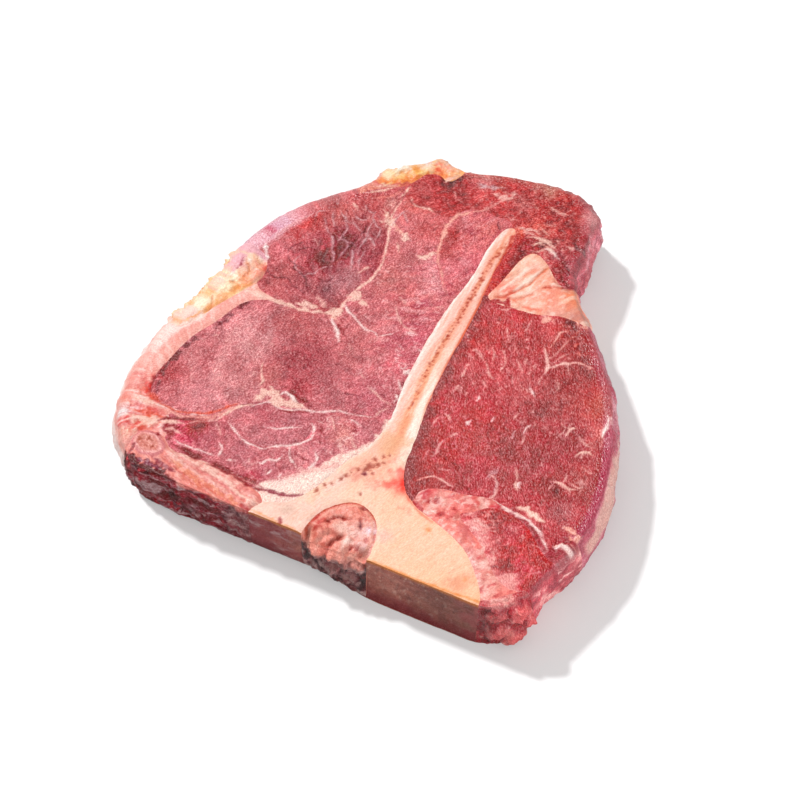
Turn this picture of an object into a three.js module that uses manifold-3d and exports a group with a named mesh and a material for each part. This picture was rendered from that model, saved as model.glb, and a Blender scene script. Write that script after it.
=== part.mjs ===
// A raw T-bone steak, lying flat with its better cut face up.
// Units are millimetres and +Z is up. The flat underside lies on z = 0, and the origin is under
// the middle of the steak. -Y is the sawn midline of the animal, where the halved vertebra and its
// canal show; the bone's arm (the transverse process) runs away from it along +Y. +X is the
// tenderloin side and -X is the back, with its cap of fat.
//
// Each muscle, bone and body of fat is a prism that runs through the whole thickness. All of them
// are cut from one slab, in the order of the list REGIONS: what comes first keeps its full outline
// and what comes later gives way to it.

import * as THREE from 'three';
import { mergeVertices } from 'three/addons/utils/BufferGeometryUtils.js';
import Module from 'manifold-3d';

const wasm = await Module();
wasm.setup();

// ---- driving dimensions ----

const THICKNESS = 31;          // over the highest swell of the upper face
const WAIST = 14;              // height at which the side walls stand out furthest
const FACE = 29.7;             // upper face between the swells
const BONE_FACE = 30.1;        // the sawn bone is flat and stands a little proud
const SEAM = 0.3;              // gap left between neighbouring pieces
const OUTLINE_STEP = 3.2;      // spacing of the points along the curves
const RELIEF_STEP = 9;         // grid of the swelling upper face
const LUMP_STEP = 3;           // finer grid, over the soft tissue in the canal
const OVERSHOOT = 12;          // how far the cutting prisms reach past the slab

// Outline of the steak at its widest, counter-clockwise: x, y, then how far the upper and the
// lower edge are drawn in from it. The saw leaves a square edge, the outer fat a round one.
// Below zero, the edge stands out instead.
const RIM = [
  [-77, -94.8, 0.6, 4], [-60, -96, 0.3, 1.8], [-20, -96, 0.3, 1.8], [2, -96, 0.3, 2],
  [20, -96, 0.3, -1.2], [58, -96, 0.3, -1.6], [73, -95.8, 0.8, -1],
  [82, -92.8, 3, 1], [87.5, -87, 4, 3], [90, -80, 4, 4], [91, -74.5, 3, 6],
  [97, -61, 5, 6.5], [100, -47, 5, 5.5], [99.6, -33, 5, 4.5], [96.7, -18, 5, 4],
  [91.3, -1.5, 5, 4], [84.2, 13, 5, 4], [75, 25, 5, 4], [65, 37, 5, 4], [54.5, 48.5, 5, 4],
  [49, 58, 4, 4], [49.4, 67, 4, 4], [48.6, 79, 5, 4], [46.5, 88.5, 6, 4],
  [39, 94.6, 6, 4], [27, 96.6, 5, 4], [13, 94.4, 4, 4], [-1, 90.6, 3, 3], [-13, 87, 3, 3],
  [-20, 87.5, 3, 3], [-26, 89, 3, 3], [-33, 84, 4, 4], [-42.5, 77.5, 5, 4], [-52, 65.5, 8, 5],
  [-62, 56, 10, 5], [-71, 46.5, 11, 5], [-79, 36, 11, 5], [-84, 24, 10, 5], [-87, 11, 8, 5],
  [-89, -1, 8, 5], [-92, -13, 9, 5], [-95.5, -25, 9, 5], [-98.5, -38, 9, 5], [-99.8, -52, 9, 5],
  [-98.4, -66, 8, 7], [-94.8, -78.5, 6, 11], [-86, -88.8, 3, 11],
];

// Gentle swells of the muscles on the upper face: centre, radii and height.
const SWELLS = [
  { at: [-52, -28], radii: [24, 20], rise: 1.1 },   // strip loin, outer half
  { at: [-14, -8], radii: [14, 26], rise: 0.9 },    // strip loin, inner half
  { at: [-50, 28], radii: [15, 22], rise: 1.0 },    // sirloin cap
  { at: [-35, -58], radii: [12, 8], rise: 0.8 },    // oval muscle
  { at: [56, -12], radii: [26, 30], rise: 1.2 },    // tenderloin
  { at: [74, -68], radii: [13, 9], rise: 0.8 },     // side strap
  { at: [24, 80], radii: [26, 10], rise: 0.9 },     // flank tail
  { at: [42, 44], radii: [12, 8], rise: 0.7 },      // kidney fat
];

// Soft tissue in the vertebral canal stands in lumps: centre, radius and height.
const CANAL_LUMPS = [
  { at: [3, -91], radii: [4, 4], rise: 1.2 },
  { at: [11, -87], radii: [6, 4], rise: -1.4 },
  { at: [11, -94], radii: [4, 3], rise: 1.3 },
  { at: [18, -92], radii: [4, 4], rise: 1.2 },
  { at: [15, -80], radii: [5, 3], rise: 0.9 },
];

// Lumps that stand out of the walls: centre and radius.
const WALL_LUMPS = {
  corner_trim: [
    { at: [83.5, -87.5, 24], radius: 5.5 }, { at: [86, -83.5, 15], radius: 6 },
    { at: [82.5, -89.5, 7], radius: 6 }, { at: [77, -91.5, 24.5], radius: 5 },
    { at: [87.5, -80.5, 24.5], radius: 4.5 }, { at: [77, -91.5, 12], radius: 6 },
  ],
  spinal_tissue: [
    { at: [4.5, -90.5, 20], radius: 7.6 }, { at: [13, -90.8, 21.5], radius: 7.4 },
    { at: [19, -91, 12], radius: 6.6 }, { at: [7.5, -91, 8], radius: 6.6 },
  ],
};
const LUMP_SIDES = 12;
const LUMP_RINGS = 8;

// ---- curves and solids ----

// Closed smooth curve through points; a third number of each point is carried along.
function closedCurve(points) {
  return new THREE.CatmullRomCurve3(
    points.map(([x, y, w = 0]) => new THREE.Vector3(x, y, w)), true, 'centripetal');
}

// Curve parameters that lie evenly along a closed curve, about OUTLINE_STEP apart.
function evenParameters(curve) {
  const count = Math.round(curve.getLength() / OUTLINE_STEP);
  return Array.from({ length: count }, (_, i) => curve.getUtoTmapping(i / count));
}

function signedArea(loop) {
  let sum = 0;
  loop.forEach((p, i) => {
    const q = loop[(i + 1) % loop.length];
    sum += p.x * q.y - q.x * p.y;
  });
  return sum / 2;
}

// Unit normals of a loop, pointing out of it.
function outwardNormals(loop) {
  const turn = Math.sign(signedArea(loop));
  return loop.map((_, i) => {
    const before = loop[(i + loop.length - 1) % loop.length];
    const after = loop[(i + 1) % loop.length];
    return new THREE.Vector2(after.y - before.y, before.x - after.x).multiplyScalar(turn).normalize();
  });
}

function toSolid(geometry) {
  const bare = geometry.clone();
  bare.deleteAttribute('normal');
  bare.deleteAttribute('uv');
  const merged = mergeVertices(bare, 1e-4);
  return new wasm.Manifold(new wasm.Mesh({
    numProp: 3,
    vertProperties: Float32Array.from(merged.attributes.position.array),
    triVerts: Uint32Array.from(merged.index.array),
  }));
}

function toGeometry(solid) {
  const mesh = solid.getMesh();
  const geometry = new THREE.BufferGeometry();
  geometry.setAttribute('position', new THREE.BufferAttribute(mesh.vertProperties, 3));
  geometry.setIndex(new THREE.BufferAttribute(mesh.triVerts, 1));
  geometry.computeVertexNormals();
  return geometry;
}

// Upright prism on a closed outline, grown sideways by grow.
function prism(outline, grow = 0) {
  const curve = closedCurve(outline);
  const loop = evenParameters(curve).map((t) => curve.getPoint(t));
  const normals = outwardNormals(loop);
  const shape = new THREE.Shape(
    loop.map((p, i) => new THREE.Vector2(p.x, p.y).addScaledVector(normals[i], grow)));
  const geometry = new THREE.ExtrudeGeometry(shape, {
    depth: THICKNESS + 2 * OVERSHOOT, bevelEnabled: false,
  });
  return toSolid(geometry.translate(0, 0, -OVERSHOOT));
}

// ---- the slab ----

function bumps(list, x, y) {
  return list.reduce((sum, { at, radii, rise }) => {
    const u = (x - at[0]) / radii[0];
    const v = (y - at[1]) / radii[1];
    return sum + rise * Math.exp(-(u * u + v * v) / 2);
  }, 0);
}

const meatFace = (x, y) => FACE + bumps(SWELLS, x, y);
const boneFace = () => BONE_FACE;
const canalFace = (x, y) => FACE - 0.4 + bumps(CANAL_LUMPS, x, y);

// Block under a surface z = face(x, y), over a rectangle of the plan.
function blockUnder(face, [x0, y0, x1, y1], step) {
  const columns = Math.round((x1 - x0) / step);
  const rows = Math.round((y1 - y0) / step);
  const geometry = new THREE.BoxGeometry(x1 - x0, y1 - y0, THICKNESS, columns, rows, 1);
  geometry.translate((x0 + x1) / 2, (y0 + y1) / 2, THICKNESS / 2);
  const position = geometry.attributes.position;
  for (let i = 0; i < position.count; i += 1) {
    if (position.getZ(i) > THICKNESS / 2) {
      position.setZ(i, face(position.getX(i), position.getY(i)));
    } else {
      position.setZ(i, 0);
    }
  }
  return toSolid(geometry);
}

// The walls: rings from the underside to the upper edge, a quarter ellipse below the waist
// and one above it, and a short collar that the upper face then cuts off.
function wallSolid() {
  const upperCurve = closedCurve(RIM);
  const lowerCurve = closedCurve(RIM.map(([x, y, , lower]) => [x, y, lower]));
  const parameters = evenParameters(upperCurve);
  const rim = parameters.map((t) => upperCurve.getPoint(t));
  const lowerInset = parameters.map((t) => lowerCurve.getPoint(t).z);
  const normals = outwardNormals(rim);
  const arc = [0, 30, 60, 90].map((angle) => THREE.MathUtils.degToRad(angle));
  const ring = (place) => rim.map((p, i) => {
    const { inset, z } = place(p, i);
    return [p.x - normals[i].x * inset, p.y - normals[i].y * inset, z];
  });
  const lower = [...arc].reverse().slice(0, -1).map((angle) => ring((p, i) => ({
    inset: lowerInset[i] * (1 - Math.cos(angle)), z: WAIST * (1 - Math.sin(angle)),
  })));
  const upper = arc.map((angle) => ring((p) => ({
    inset: p.z * (1 - Math.cos(angle)),
    z: WAIST + (meatFace(p.x, p.y) - WAIST) * Math.sin(angle),
  })));
  const collar = ring((p) => ({ inset: p.z, z: THICKNESS + 2 }));
  const rings = [...lower, ...upper, collar];

  const n = rim.length;
  const positions = rings.flat(2);
  const index = [];
  for (let r = 0; r + 1 < rings.length; r += 1) {
    for (let i = 0; i < n; i += 1) {
      const j = (i + 1) % n;
      const [a, b, c, d] = [r * n + i, r * n + j, (r + 1) * n + j, (r + 1) * n + i];
      index.push(a, b, c, a, c, d);
    }
  }
  const cap = (r, flip) => {
    const contour = rings[r].map(([x, y]) => new THREE.Vector2(x, y));
    for (const [a, b, c] of THREE.ShapeUtils.triangulateShape(contour, [])) {
      index.push(...(flip ? [a, c, b] : [a, b, c]).map((v) => v + r * n));
    }
  };
  cap(0, true);
  cap(rings.length - 1, false);
  const geometry = new THREE.BufferGeometry();
  geometry.setAttribute('position', new THREE.BufferAttribute(new Float32Array(positions), 3));
  geometry.setIndex(index);
  return toSolid(geometry);
}

// Round lump of soft tissue.
function lump({ at, radius }) {
  const ball = new THREE.SphereGeometry(radius, LUMP_SIDES, LUMP_RINGS);
  return toSolid(ball.rotateX(Math.PI / 2).translate(...at));
}

const PLAN = [-108, -103.5, 108, 103.5];
const CANAL_PLAN = [-9, -103, 33, -70];
const walls = wallSolid();
const slabs = {
  meat: walls.intersect(blockUnder(meatFace, PLAN, RELIEF_STEP)),
  bone: walls.intersect(blockUnder(boneFace, PLAN, PLAN[2] - PLAN[0])),
  canal: walls.intersect(blockUnder(canalFace, CANAL_PLAN, LUMP_STEP)),
};

// ---- the pieces ----
// Outlines that reach past the rim are cut off there. Colours are those of fresh beef.

const REGIONS = [
  {
    name: 'spinal_tissue', slab: 'canal', color: 0xf3ab9c, roughness: 0.4,
    outline: [
      [-1.5, -99], [-2, -90], [2.5, -80.5], [11.5, -74.8], [20.5, -78.5], [24.4, -88], [23, -99],
    ],
  },
  {
    name: 'bone', slab: 'bone', color: 0xf8d0b4, roughness: 0.6,
    outline: [
      // tip of the arm, then its left edge down to the lamina
      [16.5, 67], [13.5, 65.5], [10.7, 55], [10, 38], [7.3, 20], [6, 0], [6, -20], [7.6, -36],
      [5.5, -49], [-0.5, -61], [-6.5, -76], [-14, -86], [-22.5, -90], [-25, -104],
      // along the saw cut, then up round the body to the arm again
      [20, -108], [70, -104], [70.5, -93], [64, -83.5], [56, -76], [43, -70.5], [32, -67],
      [25, -61.5], [21, -52], [20, -40], [18, -24], [17.6, -4], [18, 21], [17.2, 47], [18.4, 62],
    ],
  },
  {
    name: 'kidney_fat', slab: 'meat', color: 0xf6bda0, roughness: 0.5,
    outline: [
      [20, 31.5], [22, 41], [25.5, 55.5], [28.5, 59.5], [35, 56.5], [43.5, 49], [49, 48.5],
      [56, 56], [72, 48], [74, 33], [60, 35.5], [50, 35.5], [41, 32.5], [30, 31.3],
    ],
  },
  {
    name: 'corner_trim', slab: 'meat', color: 0xd05f5e, roughness: 0.45,
    outline: [
      [68, -96], [74.5, -91], [79, -87], [84, -83], [91, -77], [104, -74], [106, -106],
      [72, -106],
    ],
  },
  {
    name: 'side_strap', slab: 'meat', color: 0xc64c52, roughness: 0.4,
    outline: [
      [48.5, -62.8], [53.5, -60.3], [57, -56.6], [61, -55.3], [67.5, -55.4], [72, -56.6],
      [77, -59.3], [82, -63.8], [86.5, -67], [91, -67.5], [104, -67], [104, -73], [93, -75],
      [87.5, -80], [81, -84], [74, -83], [68, -78], [61.5, -71.5], [54.5, -67],
    ],
  },
  {
    // fat between the vertebra and the side strap, which also wraps the strap's outer end
    name: 'seam_fat', slab: 'meat', color: 0xf2a9a0, roughness: 0.5,
    outline: [
      [24, -68], [30.5, -66.5], [31, -60], [37, -56.3], [46, -54.8], [53.5, -53], [56.5, -51.8],
      [61, -52.8], [68, -53.2], [74, -54.6], [79, -57.6], [84, -61.8], [87, -62.5], [88.4, -58],
      [88.5, -54.5], [91, -53.8], [94, -57], [98, -60.5], [106, -62], [108, -98], [66, -100],
      [50, -84],
    ],
  },
  {
    name: 'tenderloin', slab: 'meat', color: 0xb4444b, roughness: 0.4,
    outline: [
      [24, -68], [50, -66], [80, -66], [108, -66], [112, -20], [96, 18], [70, 40], [55, 37],
      [41, 33.5], [24, 32.5], [10, 30], [10, -40],
    ],
  },
  {
    name: 'arm_muscle', slab: 'meat', color: 0xcf6a6f, roughness: 0.4,
    outline: [
      [14, 69], [7, 69], [0.5, 70], [-5, 66.5], [-9.4, 60], [-9.4, 50], [-6.3, 39], [-2, 33],
      [3.5, 27], [14, 25],
    ],
  },
  {
    name: 'back_fat', slab: 'meat', color: 0xf49a66, roughness: 0.5,
    outline: [
      [-50, 62.5], [-37, 65.5], [-31, 71], [-28, 77], [-22.5, 79], [-18, 77], [-14, 82.5],
      [-10, 98], [-60, 98],
    ],
  },
  {
    name: 'flank_tail', slab: 'meat', color: 0xb9504f, roughness: 0.4,
    outline: [
      [-33, 67], [-28, 61], [-20, 60.7], [-11, 61.3], [-6, 67], [0, 70.3], [6, 67.5], [13, 64.5],
      [14, 40], [14, 26], [24, 26], [66, 40], [66, 108], [-36, 108],
    ],
  },
  {
    name: 'rump_fat', slab: 'meat', color: 0xf6c890, roughness: 0.5,
    outline: [
      [-71.5, 13], [-68, 8], [-67.5, 1.5], [-70.5, -4], [-78.5, -17.5], [-82, -25], [-88, -33],
      [-108, -38], [-108, 14], [-86, 16],
    ],
  },
  {
    name: 'oval_muscle', slab: 'meat', color: 0xcf7d84, roughness: 0.4,
    outline: [
      [-49.5, -55], [-43.5, -51.3], [-38, -49], [-30, -49], [-22, -47.2], [-18.6, -52],
      [-20, -60], [-28, -65.5], [-38, -68], [-47.5, -65], [-51.2, -60],
    ],
  },
  {
    name: 'spine_band', slab: 'bone', color: 0xeb9c8c, roughness: 0.5,
    outline: [
      [-77, -79.5], [-70, -79.8], [-65.5, -83.5], [-56, -83.3], [-40, -83.4], [-31, -85],
      [-23, -88.5], [-18, -106], [-78, -106], [-80.5, -90], [-80.5, -83],
    ],
  },
  {
    name: 'fat_cap', slab: 'meat', color: 0xf9c5bb, roughness: 0.45,
    outline: [
      [-58, -4.8], [-63, -7.2], [-68.5, -10.5], [-75, -24], [-80.5, -34], [-84.8, -50],
      [-85.8, -56], [-82.8, -66], [-75, -68.5], [-70.5, -74], [-69.5, -80], [-72, -90],
      [-80, -106], [-112, -106], [-116, -40], [-98, 20], [-73, 8], [-69, -0.5], [-63.5, -4.2],
    ],
  },
  {
    name: 'sirloin_cap', slab: 'meat', color: 0xb75d62, roughness: 0.4,
    outline: [
      [-74, -3], [-69, -3.5], [-60, -4.6], [-50, -4.8], [-37, -3.2], [-33.5, 0], [-31.8, 10],
      [-27.5, 20], [-27.3, 30], [-30.5, 44], [-32.3, 55], [-31, 72], [-50, 90], [-110, 60], [-110, 0],
    ],
  },
  {
    name: 'back_muscle', slab: 'meat', color: 0xc9777c, roughness: 0.4,
    outline: [
      [-84, -67.5], [-74, -67.3], [-63, -65.7], [-54.5, -61.3], [-49.5, -54.5], [-39.5, -49],
      [-32, -48.7], [-22, -46.6], [-10, -41], [-1, -38], [12, -38], [14, -80], [-20, -98],
      [-90, -98],
    ],
  },
  { name: 'strip_loin', slab: 'meat', color: 0xcb6c70, roughness: 0.4 },
];

function largestBody(solid) {
  return solid.decompose().reduce((best, body) => (body.volume() > best.volume() ? body : best));
}

const steak = new THREE.Group();
const grown = [];
for (const { name, slab, color, roughness, outline } of REGIONS) {
  let piece = slabs[slab];
  for (const wallLump of WALL_LUMPS[name] ?? []) {
    piece = piece.add(lump(wallLump));
  }
  if (outline) {
    piece = piece.intersect(prism(outline));
  }
  for (const earlier of grown) {
    piece = piece.subtract(earlier);
  }
  if (outline) {
    grown.push(prism(outline, SEAM));
  }
  const mesh = new THREE.Mesh(
    toGeometry(largestBody(piece)),
    new THREE.MeshStandardMaterial({ color, roughness, metalness: 0 }),
  );
  mesh.name = name;
  steak.add(mesh);
}

// Bring the origin under the middle of the steak's box.
const middle = new THREE.Box3().setFromObject(steak).getCenter(new THREE.Vector3());
steak.position.set(-middle.x, -middle.y, 0);

export default steak;
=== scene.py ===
"""The look of the raw T-bone steak.

Each food node is shown by one closed piece: a fine lattice over the upper and the lower cut
face, and columns of points down the outer wall. The pieces share their seams. Sizes are in
millimetres in the drawing's own frame until the pieces are made.
"""
import math

import bpy
import numpy as np
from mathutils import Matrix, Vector, kdtree


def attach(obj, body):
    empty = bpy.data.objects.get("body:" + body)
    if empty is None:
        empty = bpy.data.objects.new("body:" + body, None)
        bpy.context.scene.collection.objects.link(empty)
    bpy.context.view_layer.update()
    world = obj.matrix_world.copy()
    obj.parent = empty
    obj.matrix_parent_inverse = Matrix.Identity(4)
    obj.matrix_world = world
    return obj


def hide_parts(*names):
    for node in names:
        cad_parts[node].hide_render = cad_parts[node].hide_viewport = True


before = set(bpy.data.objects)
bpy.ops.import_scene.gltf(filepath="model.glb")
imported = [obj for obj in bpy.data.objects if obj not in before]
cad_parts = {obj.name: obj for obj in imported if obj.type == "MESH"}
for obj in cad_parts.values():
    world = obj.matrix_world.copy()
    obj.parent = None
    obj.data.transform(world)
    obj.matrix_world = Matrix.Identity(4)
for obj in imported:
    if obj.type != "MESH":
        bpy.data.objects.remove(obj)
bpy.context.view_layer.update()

# ---- sizes, in mm ----

SHIFT = np.array([-0.2044, 0.8021])  # from the drawing's origin to the part's
WAIST = 14.0         # height at which the walls stand out furthest
FACE = 29.7          # upper face between its swells
BONE_FACE = 30.0     # the sawn bone stands a little proud
SEAM_DEPTH = 0.32    # how far the faces dip towards the seams between them
STEP = 0.5           # spacing of the lattice
HALF_WIDTH, HALF_DEPTH = 104, 100    # and how far it reaches
UPPER_ROWS = 26      # rows of points on the wall above the waist
LOWER_ROWS = 16
LEVELS = LOWER_ROWS + UPPER_ROWS + 1
RIM_SPREAD = 30.0    # how far in the underside is stretched to meet its own outline
SLICE = 15.0         # height at which the nodes' outlines are read
EDGE_BLUR = 20       # how many neighbours along the rim the wall takes its colour from, each way
RIM_SPAN = 140       # points of the outline between two of its control points
CURVE_SPAN = 6       # and of the curves inside it
TABLE_SIZE = 512     # of the random numbers that all noise is made from; a power of two
VOTES, RIM_PASSES, SEAM_PASSES, REST_PASSES = 3, 8, 44, 12    # rounds of smoothing

# Outline at its widest: x, y, then how far the upper and the lower edge are drawn in from it.
RIM = [
    [-77, -94.8, 0.6, 4], [-60, -96, 0.3, 1.8], [-20, -96, 0.3, 1.8], [2, -96, 0.3, 2],
    [20, -96, 0.3, -1.2], [58, -96, 0.3, -1.6], [73, -95.8, 0.8, -1],
    [82, -92.8, 3, 1], [87.5, -87, 4, 3], [90, -80, 4, 4], [91, -74.5, 3, 6],
    [97, -61, 5, 6.5], [100, -47, 5, 5.5], [99.6, -33, 5, 4.5], [96.7, -18, 5, 4],
    [91.3, -1.5, 5, 4], [84.2, 13, 5, 4], [75, 25, 5, 4], [65, 37, 5, 4], [54.5, 48.5, 5, 4],
    [49, 58, 4, 4], [49.4, 67, 4, 4], [48.6, 79, 5, 4], [46.5, 88.5, 6, 4],
    [39, 94.6, 6, 4], [27, 96.6, 5, 4], [13, 94.4, 4, 4], [-1, 90.6, 3, 3], [-13, 87, 3, 3],
    [-20, 87.5, 3, 3], [-26, 89, 3, 3], [-33, 84, 4, 4], [-42.5, 77.5, 5, 4], [-52, 65.5, 8, 5],
    [-62, 56, 10, 5], [-71, 46.5, 11, 5], [-79, 36, 11, 5], [-84, 24, 10, 5], [-87, 11, 8, 5],
    [-89, -1, 8, 5], [-92, -13, 9, 5], [-95.5, -25, 9, 5], [-98.5, -38, 9, 5], [-99.8, -52, 9, 5],
    [-98.4, -66, 8, 7], [-94.8, -78.5, 6, 11], [-86, -88.8, 3, 11],
]

# Swells of the muscles: x, y, radii, rise.
SWELLS = [
    (-52, -28, 24, 20, 1.1), (-14, -8, 14, 26, 0.9), (-50, 28, 15, 22, 1.0),
    (-35, -58, 12, 8, 0.8), (56, -12, 26, 30, 1.2), (74, -68, 13, 9, 0.8),
    (24, 80, 26, 10, 0.9), (42, 44, 12, 8, 0.7),
]
CANAL_LUMPS = [
    (3, -91, 4, 4, 1.2), (11, -87, 6, 4, -1.4), (11, -94, 4, 3, 1.3), (18, -92, 4, 4, 1.2),
    (15, -80, 5, 3, 0.9),
]
# Balls of soft tissue that stand out of the wall: x, y, z, radius.
WALL_LUMPS = {
    "corner_trim": [
        (83.5, -87.5, 24, 5.5), (86, -83.5, 15, 6), (82.5, -89.5, 7, 6), (77, -91.5, 24.5, 5),
        (87.5, -80.5, 24.5, 4.5), (77, -91.5, 12, 6),
    ],
    "spinal_tissue": [
        (4.2, -91, 22.5, 7.6), (12.5, -91.6, 23.4, 7.2), (18.6, -91.5, 20, 6.2), (9, -91.4, 12, 6.6),
        (17, -91.2, 9, 6.2),
    ],
}

# Colours of their crowns, painted light, and of the clefts between them, painted shade.
LUMP_HIGHLIGHT_AND_SHADE = {"corner_trim": ("#d65e5c", "#921222"), "spinal_tissue": ("#b07c76", "#3c0c10")}

# ---- numbers and noise ----

TABLE = np.random.default_rng(11).random((TABLE_SIZE, TABLE_SIZE))


def smooth(low, high, value):
    t = np.clip((value - low) / (high - low), 0, 1)
    return t * t * (3 - 2 * t)


def value_noise(x, y, seed):
    x = x + 37.71 * seed
    y = y + 91.37 * seed
    i = np.floor(x).astype(int)
    j = np.floor(y).astype(int)
    u = x - i
    v = y - j
    u = u * u * (3 - 2 * u)
    v = v * v * (3 - 2 * v)
    last = TABLE_SIZE - 1
    left, right, down, up = i & last, (i + 1) & last, j & last, (j + 1) & last
    low = TABLE[left, down] * (1 - u) + TABLE[right, down] * u
    high = TABLE[left, up] * (1 - u) + TABLE[right, up] * u
    return low * (1 - v) + high * v


def noise(x, y, size, seed=0, octaves=3):
    """Noise from about -1 to 1, with grains of that size."""
    total = np.zeros(np.shape(x))
    weight = 1.0
    norm = 0.0
    for k in range(octaves):
        turn = 0.5 + 1.1 * k
        u = (x * math.cos(turn) - y * math.sin(turn)) / size
        v = (x * math.sin(turn) + y * math.cos(turn)) / size
        total += weight * (2 * value_noise(u, v, seed + 3 * k + 1) - 1)
        norm += weight * weight
        weight *= 0.55
        size *= 0.5
    return total / math.sqrt(norm) * 1.5


def turned(x, y, angle, stretch):
    """Coordinates along and across a grain that runs at that angle, squeezed along it."""
    c, s = math.cos(math.radians(angle)), math.sin(math.radians(angle))
    return (x * c + y * s) / stretch, -x * s + y * c


def ridges(x, y, size, seed=0):
    """1 on the crests of a branching network, falling to 0 between them."""
    return np.clip(1 - np.abs(noise(x, y, size, seed, 2)) * 2.2, 0, 1)


def rgb(code):
    return np.array([int(code[i:i + 2], 16) for i in (1, 3, 5)]) / 255


def to_linear(c):
    c = np.clip(c, 0, None)
    return np.where(c <= 0.04045, c / 12.92, ((c + 0.055) / 1.055) ** 2.4)


# ---- curves ----

def closed_curve(points):
    """Centripetal Catmull-Rom curve through closed control points."""
    p = np.array(points, float)
    a, b, c, d = np.roll(p, 1, 0), p, np.roll(p, -1, 0), np.roll(p, -2, 0)
    key = p[:, :3]
    gap = np.sqrt(np.linalg.norm(np.roll(key, -1, 0) - key, axis=1))[:, None]
    before, after = np.roll(gap, 1, 0), np.roll(gap, -1, 0)
    m1 = gap * ((b - a) / before - (c - a) / (before + gap) + (c - b) / gap)
    m2 = gap * ((c - b) / gap - (d - b) / (gap + after) + (d - c) / after)
    t = (np.arange(RIM_SPAN) / RIM_SPAN)[None, :, None]
    b, c, m1, m2 = (q[:, None, :] for q in (b, c, m1, m2))
    out = (2 * t**3 - 3 * t**2 + 1) * b + (t**3 - 2 * t**2 + t) * m1
    out = out + (3 * t**2 - 2 * t**3) * c + (t**3 - t**2) * m2
    return out.reshape(-1, p.shape[1])


def open_curve(points):
    """Smooth curve through open control points."""
    p = np.array(points, float)
    if len(p) < 3:
        return p
    ext = np.vstack([2 * p[0] - p[1], p, 2 * p[-1] - p[-2]])
    t = (np.arange(CURVE_SPAN) / CURVE_SPAN)[:, None]
    spans = []
    for a, b, c, d in zip(ext, ext[1:], ext[2:], ext[3:]):
        spans.append(0.5 * (2 * b + (c - a) * t + (2 * a - 5 * b + 4 * c - d) * t**2
                            + (3 * b - a - 3 * c + d) * t**3))
    return np.vstack(spans + [p[-1:]])


def to_line(x, y, points):
    """Distance from each place to a polyline, and how far along it the nearest point is."""
    best = np.full(x.shape, 1e9)
    along = np.zeros(x.shape)
    count = len(points) - 1
    for k in range(count):
        (ax, ay), (bx, by) = points[k][:2], points[k + 1][:2]
        dx, dy = bx - ax, by - ay
        t = np.clip(((x - ax) * dx + (y - ay) * dy) / (dx * dx + dy * dy + 1e-12), 0, 1)
        d = np.hypot(x - ax - t * dx, y - ay - t * dy)
        near = d < best
        best[near] = d[near]
        along[near] = (k + t[near]) / count
    return best, along


# ---- the outline ----

rim = closed_curve(RIM)
tangent = np.roll(rim, -1, 0)[:, :2] - np.roll(rim, 1, 0)[:, :2]
tangent /= np.linalg.norm(tangent, axis=1)[:, None]
rim_normal = np.stack([tangent[:, 1], -tangent[:, 0]], 1)
upper_edge = rim[:, :2] - rim_normal * rim[:, 2:3]
rim_length = np.concatenate([[0], np.cumsum(np.linalg.norm(np.diff(rim[:, :2], axis=0), axis=1))])

# ---- the lattice and the node of each of its cells ----

xs = np.arange(-HALF_WIDTH, HALF_WIDTH + STEP / 2, STEP)
ys = np.arange(-HALF_DEPTH, HALF_DEPTH + STEP / 2, STEP)
columns, rows = len(xs) - 1, len(ys) - 1
cell_x = xs[:-1] + STEP / 2


def inside(segments):
    """Which cell centres lie inside closed outlines given as segments."""
    mask = np.zeros((rows, columns), bool)
    (x0, y0), (x1, y1) = segments[:, 0].T, segments[:, 1].T
    for j in range(rows):
        y = ys[j] + STEP / 2 + 1e-5
        hit = (y0 <= y) != (y1 <= y)
        if hit.any():
            cuts = np.sort(x0[hit] + (y - y0[hit]) * (x1[hit] - x0[hit]) / (y1[hit] - y0[hit]))
            mask[j] = np.searchsorted(cuts, cell_x) % 2 == 1
    return mask


def outline_of(node, height):
    """Segments where a node's surface crosses that height."""
    mesh = node.data
    mesh.calc_loop_triangles()
    points = np.empty(len(mesh.vertices) * 3)
    mesh.vertices.foreach_get("co", points)
    points = points.reshape(-1, 3) * 1000
    points[:, :2] -= SHIFT
    tri = np.empty(len(mesh.loop_triangles) * 3, int)
    mesh.loop_triangles.foreach_get("vertices", tri)
    p = points[tri.reshape(-1, 3)]
    q = np.roll(p, -1, axis=1)
    cross = (p[..., 2] > height) != (q[..., 2] > height)
    rise = np.where(cross, q[..., 2] - p[..., 2], 1)
    t = (height - p[..., 2]) / rise
    at = p[..., :2] + t[..., None] * (q - p)[..., :2]
    return at[cross].reshape(-1, 2, 2)


names = sorted(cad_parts)
loop = np.stack([upper_edge, np.roll(upper_edge, -1, 0)], 1)
in_face = inside(loop)
label = np.full((rows, columns), -1)
for k, name in enumerate(names):
    label[inside(outline_of(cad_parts[name], SLICE)) & in_face] = k


def shifted(a, dj, di, fill):
    out = np.full_like(a, fill)
    out[max(dj, 0):rows + min(dj, 0), max(di, 0):columns + min(di, 0)] = \
        a[max(-dj, 0):rows + min(-dj, 0), max(-di, 0):columns + min(-di, 0)]
    return out


AROUND = [(dj, di) for dj in (-1, 0, 1) for di in (-1, 0, 1)]
while (open_cells := in_face & (label < 0)).any():
    for dj, di in AROUND:
        near = shifted(label, dj, di, -1)
        take = open_cells & (label < 0) & (near >= 0)
        label[take] = near[take]
for _ in range(VOTES):
    votes = np.stack([sum((shifted(label, dj, di, -1) == k).astype(int) * (2 if dj == di == 0 else 1)
                          for dj, di in AROUND) for k in range(len(names))])
    label = np.where(in_face, votes.argmax(0), -1)

# ---- lattice points, drawn onto the outline and smoothed along the seams ----

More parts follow.
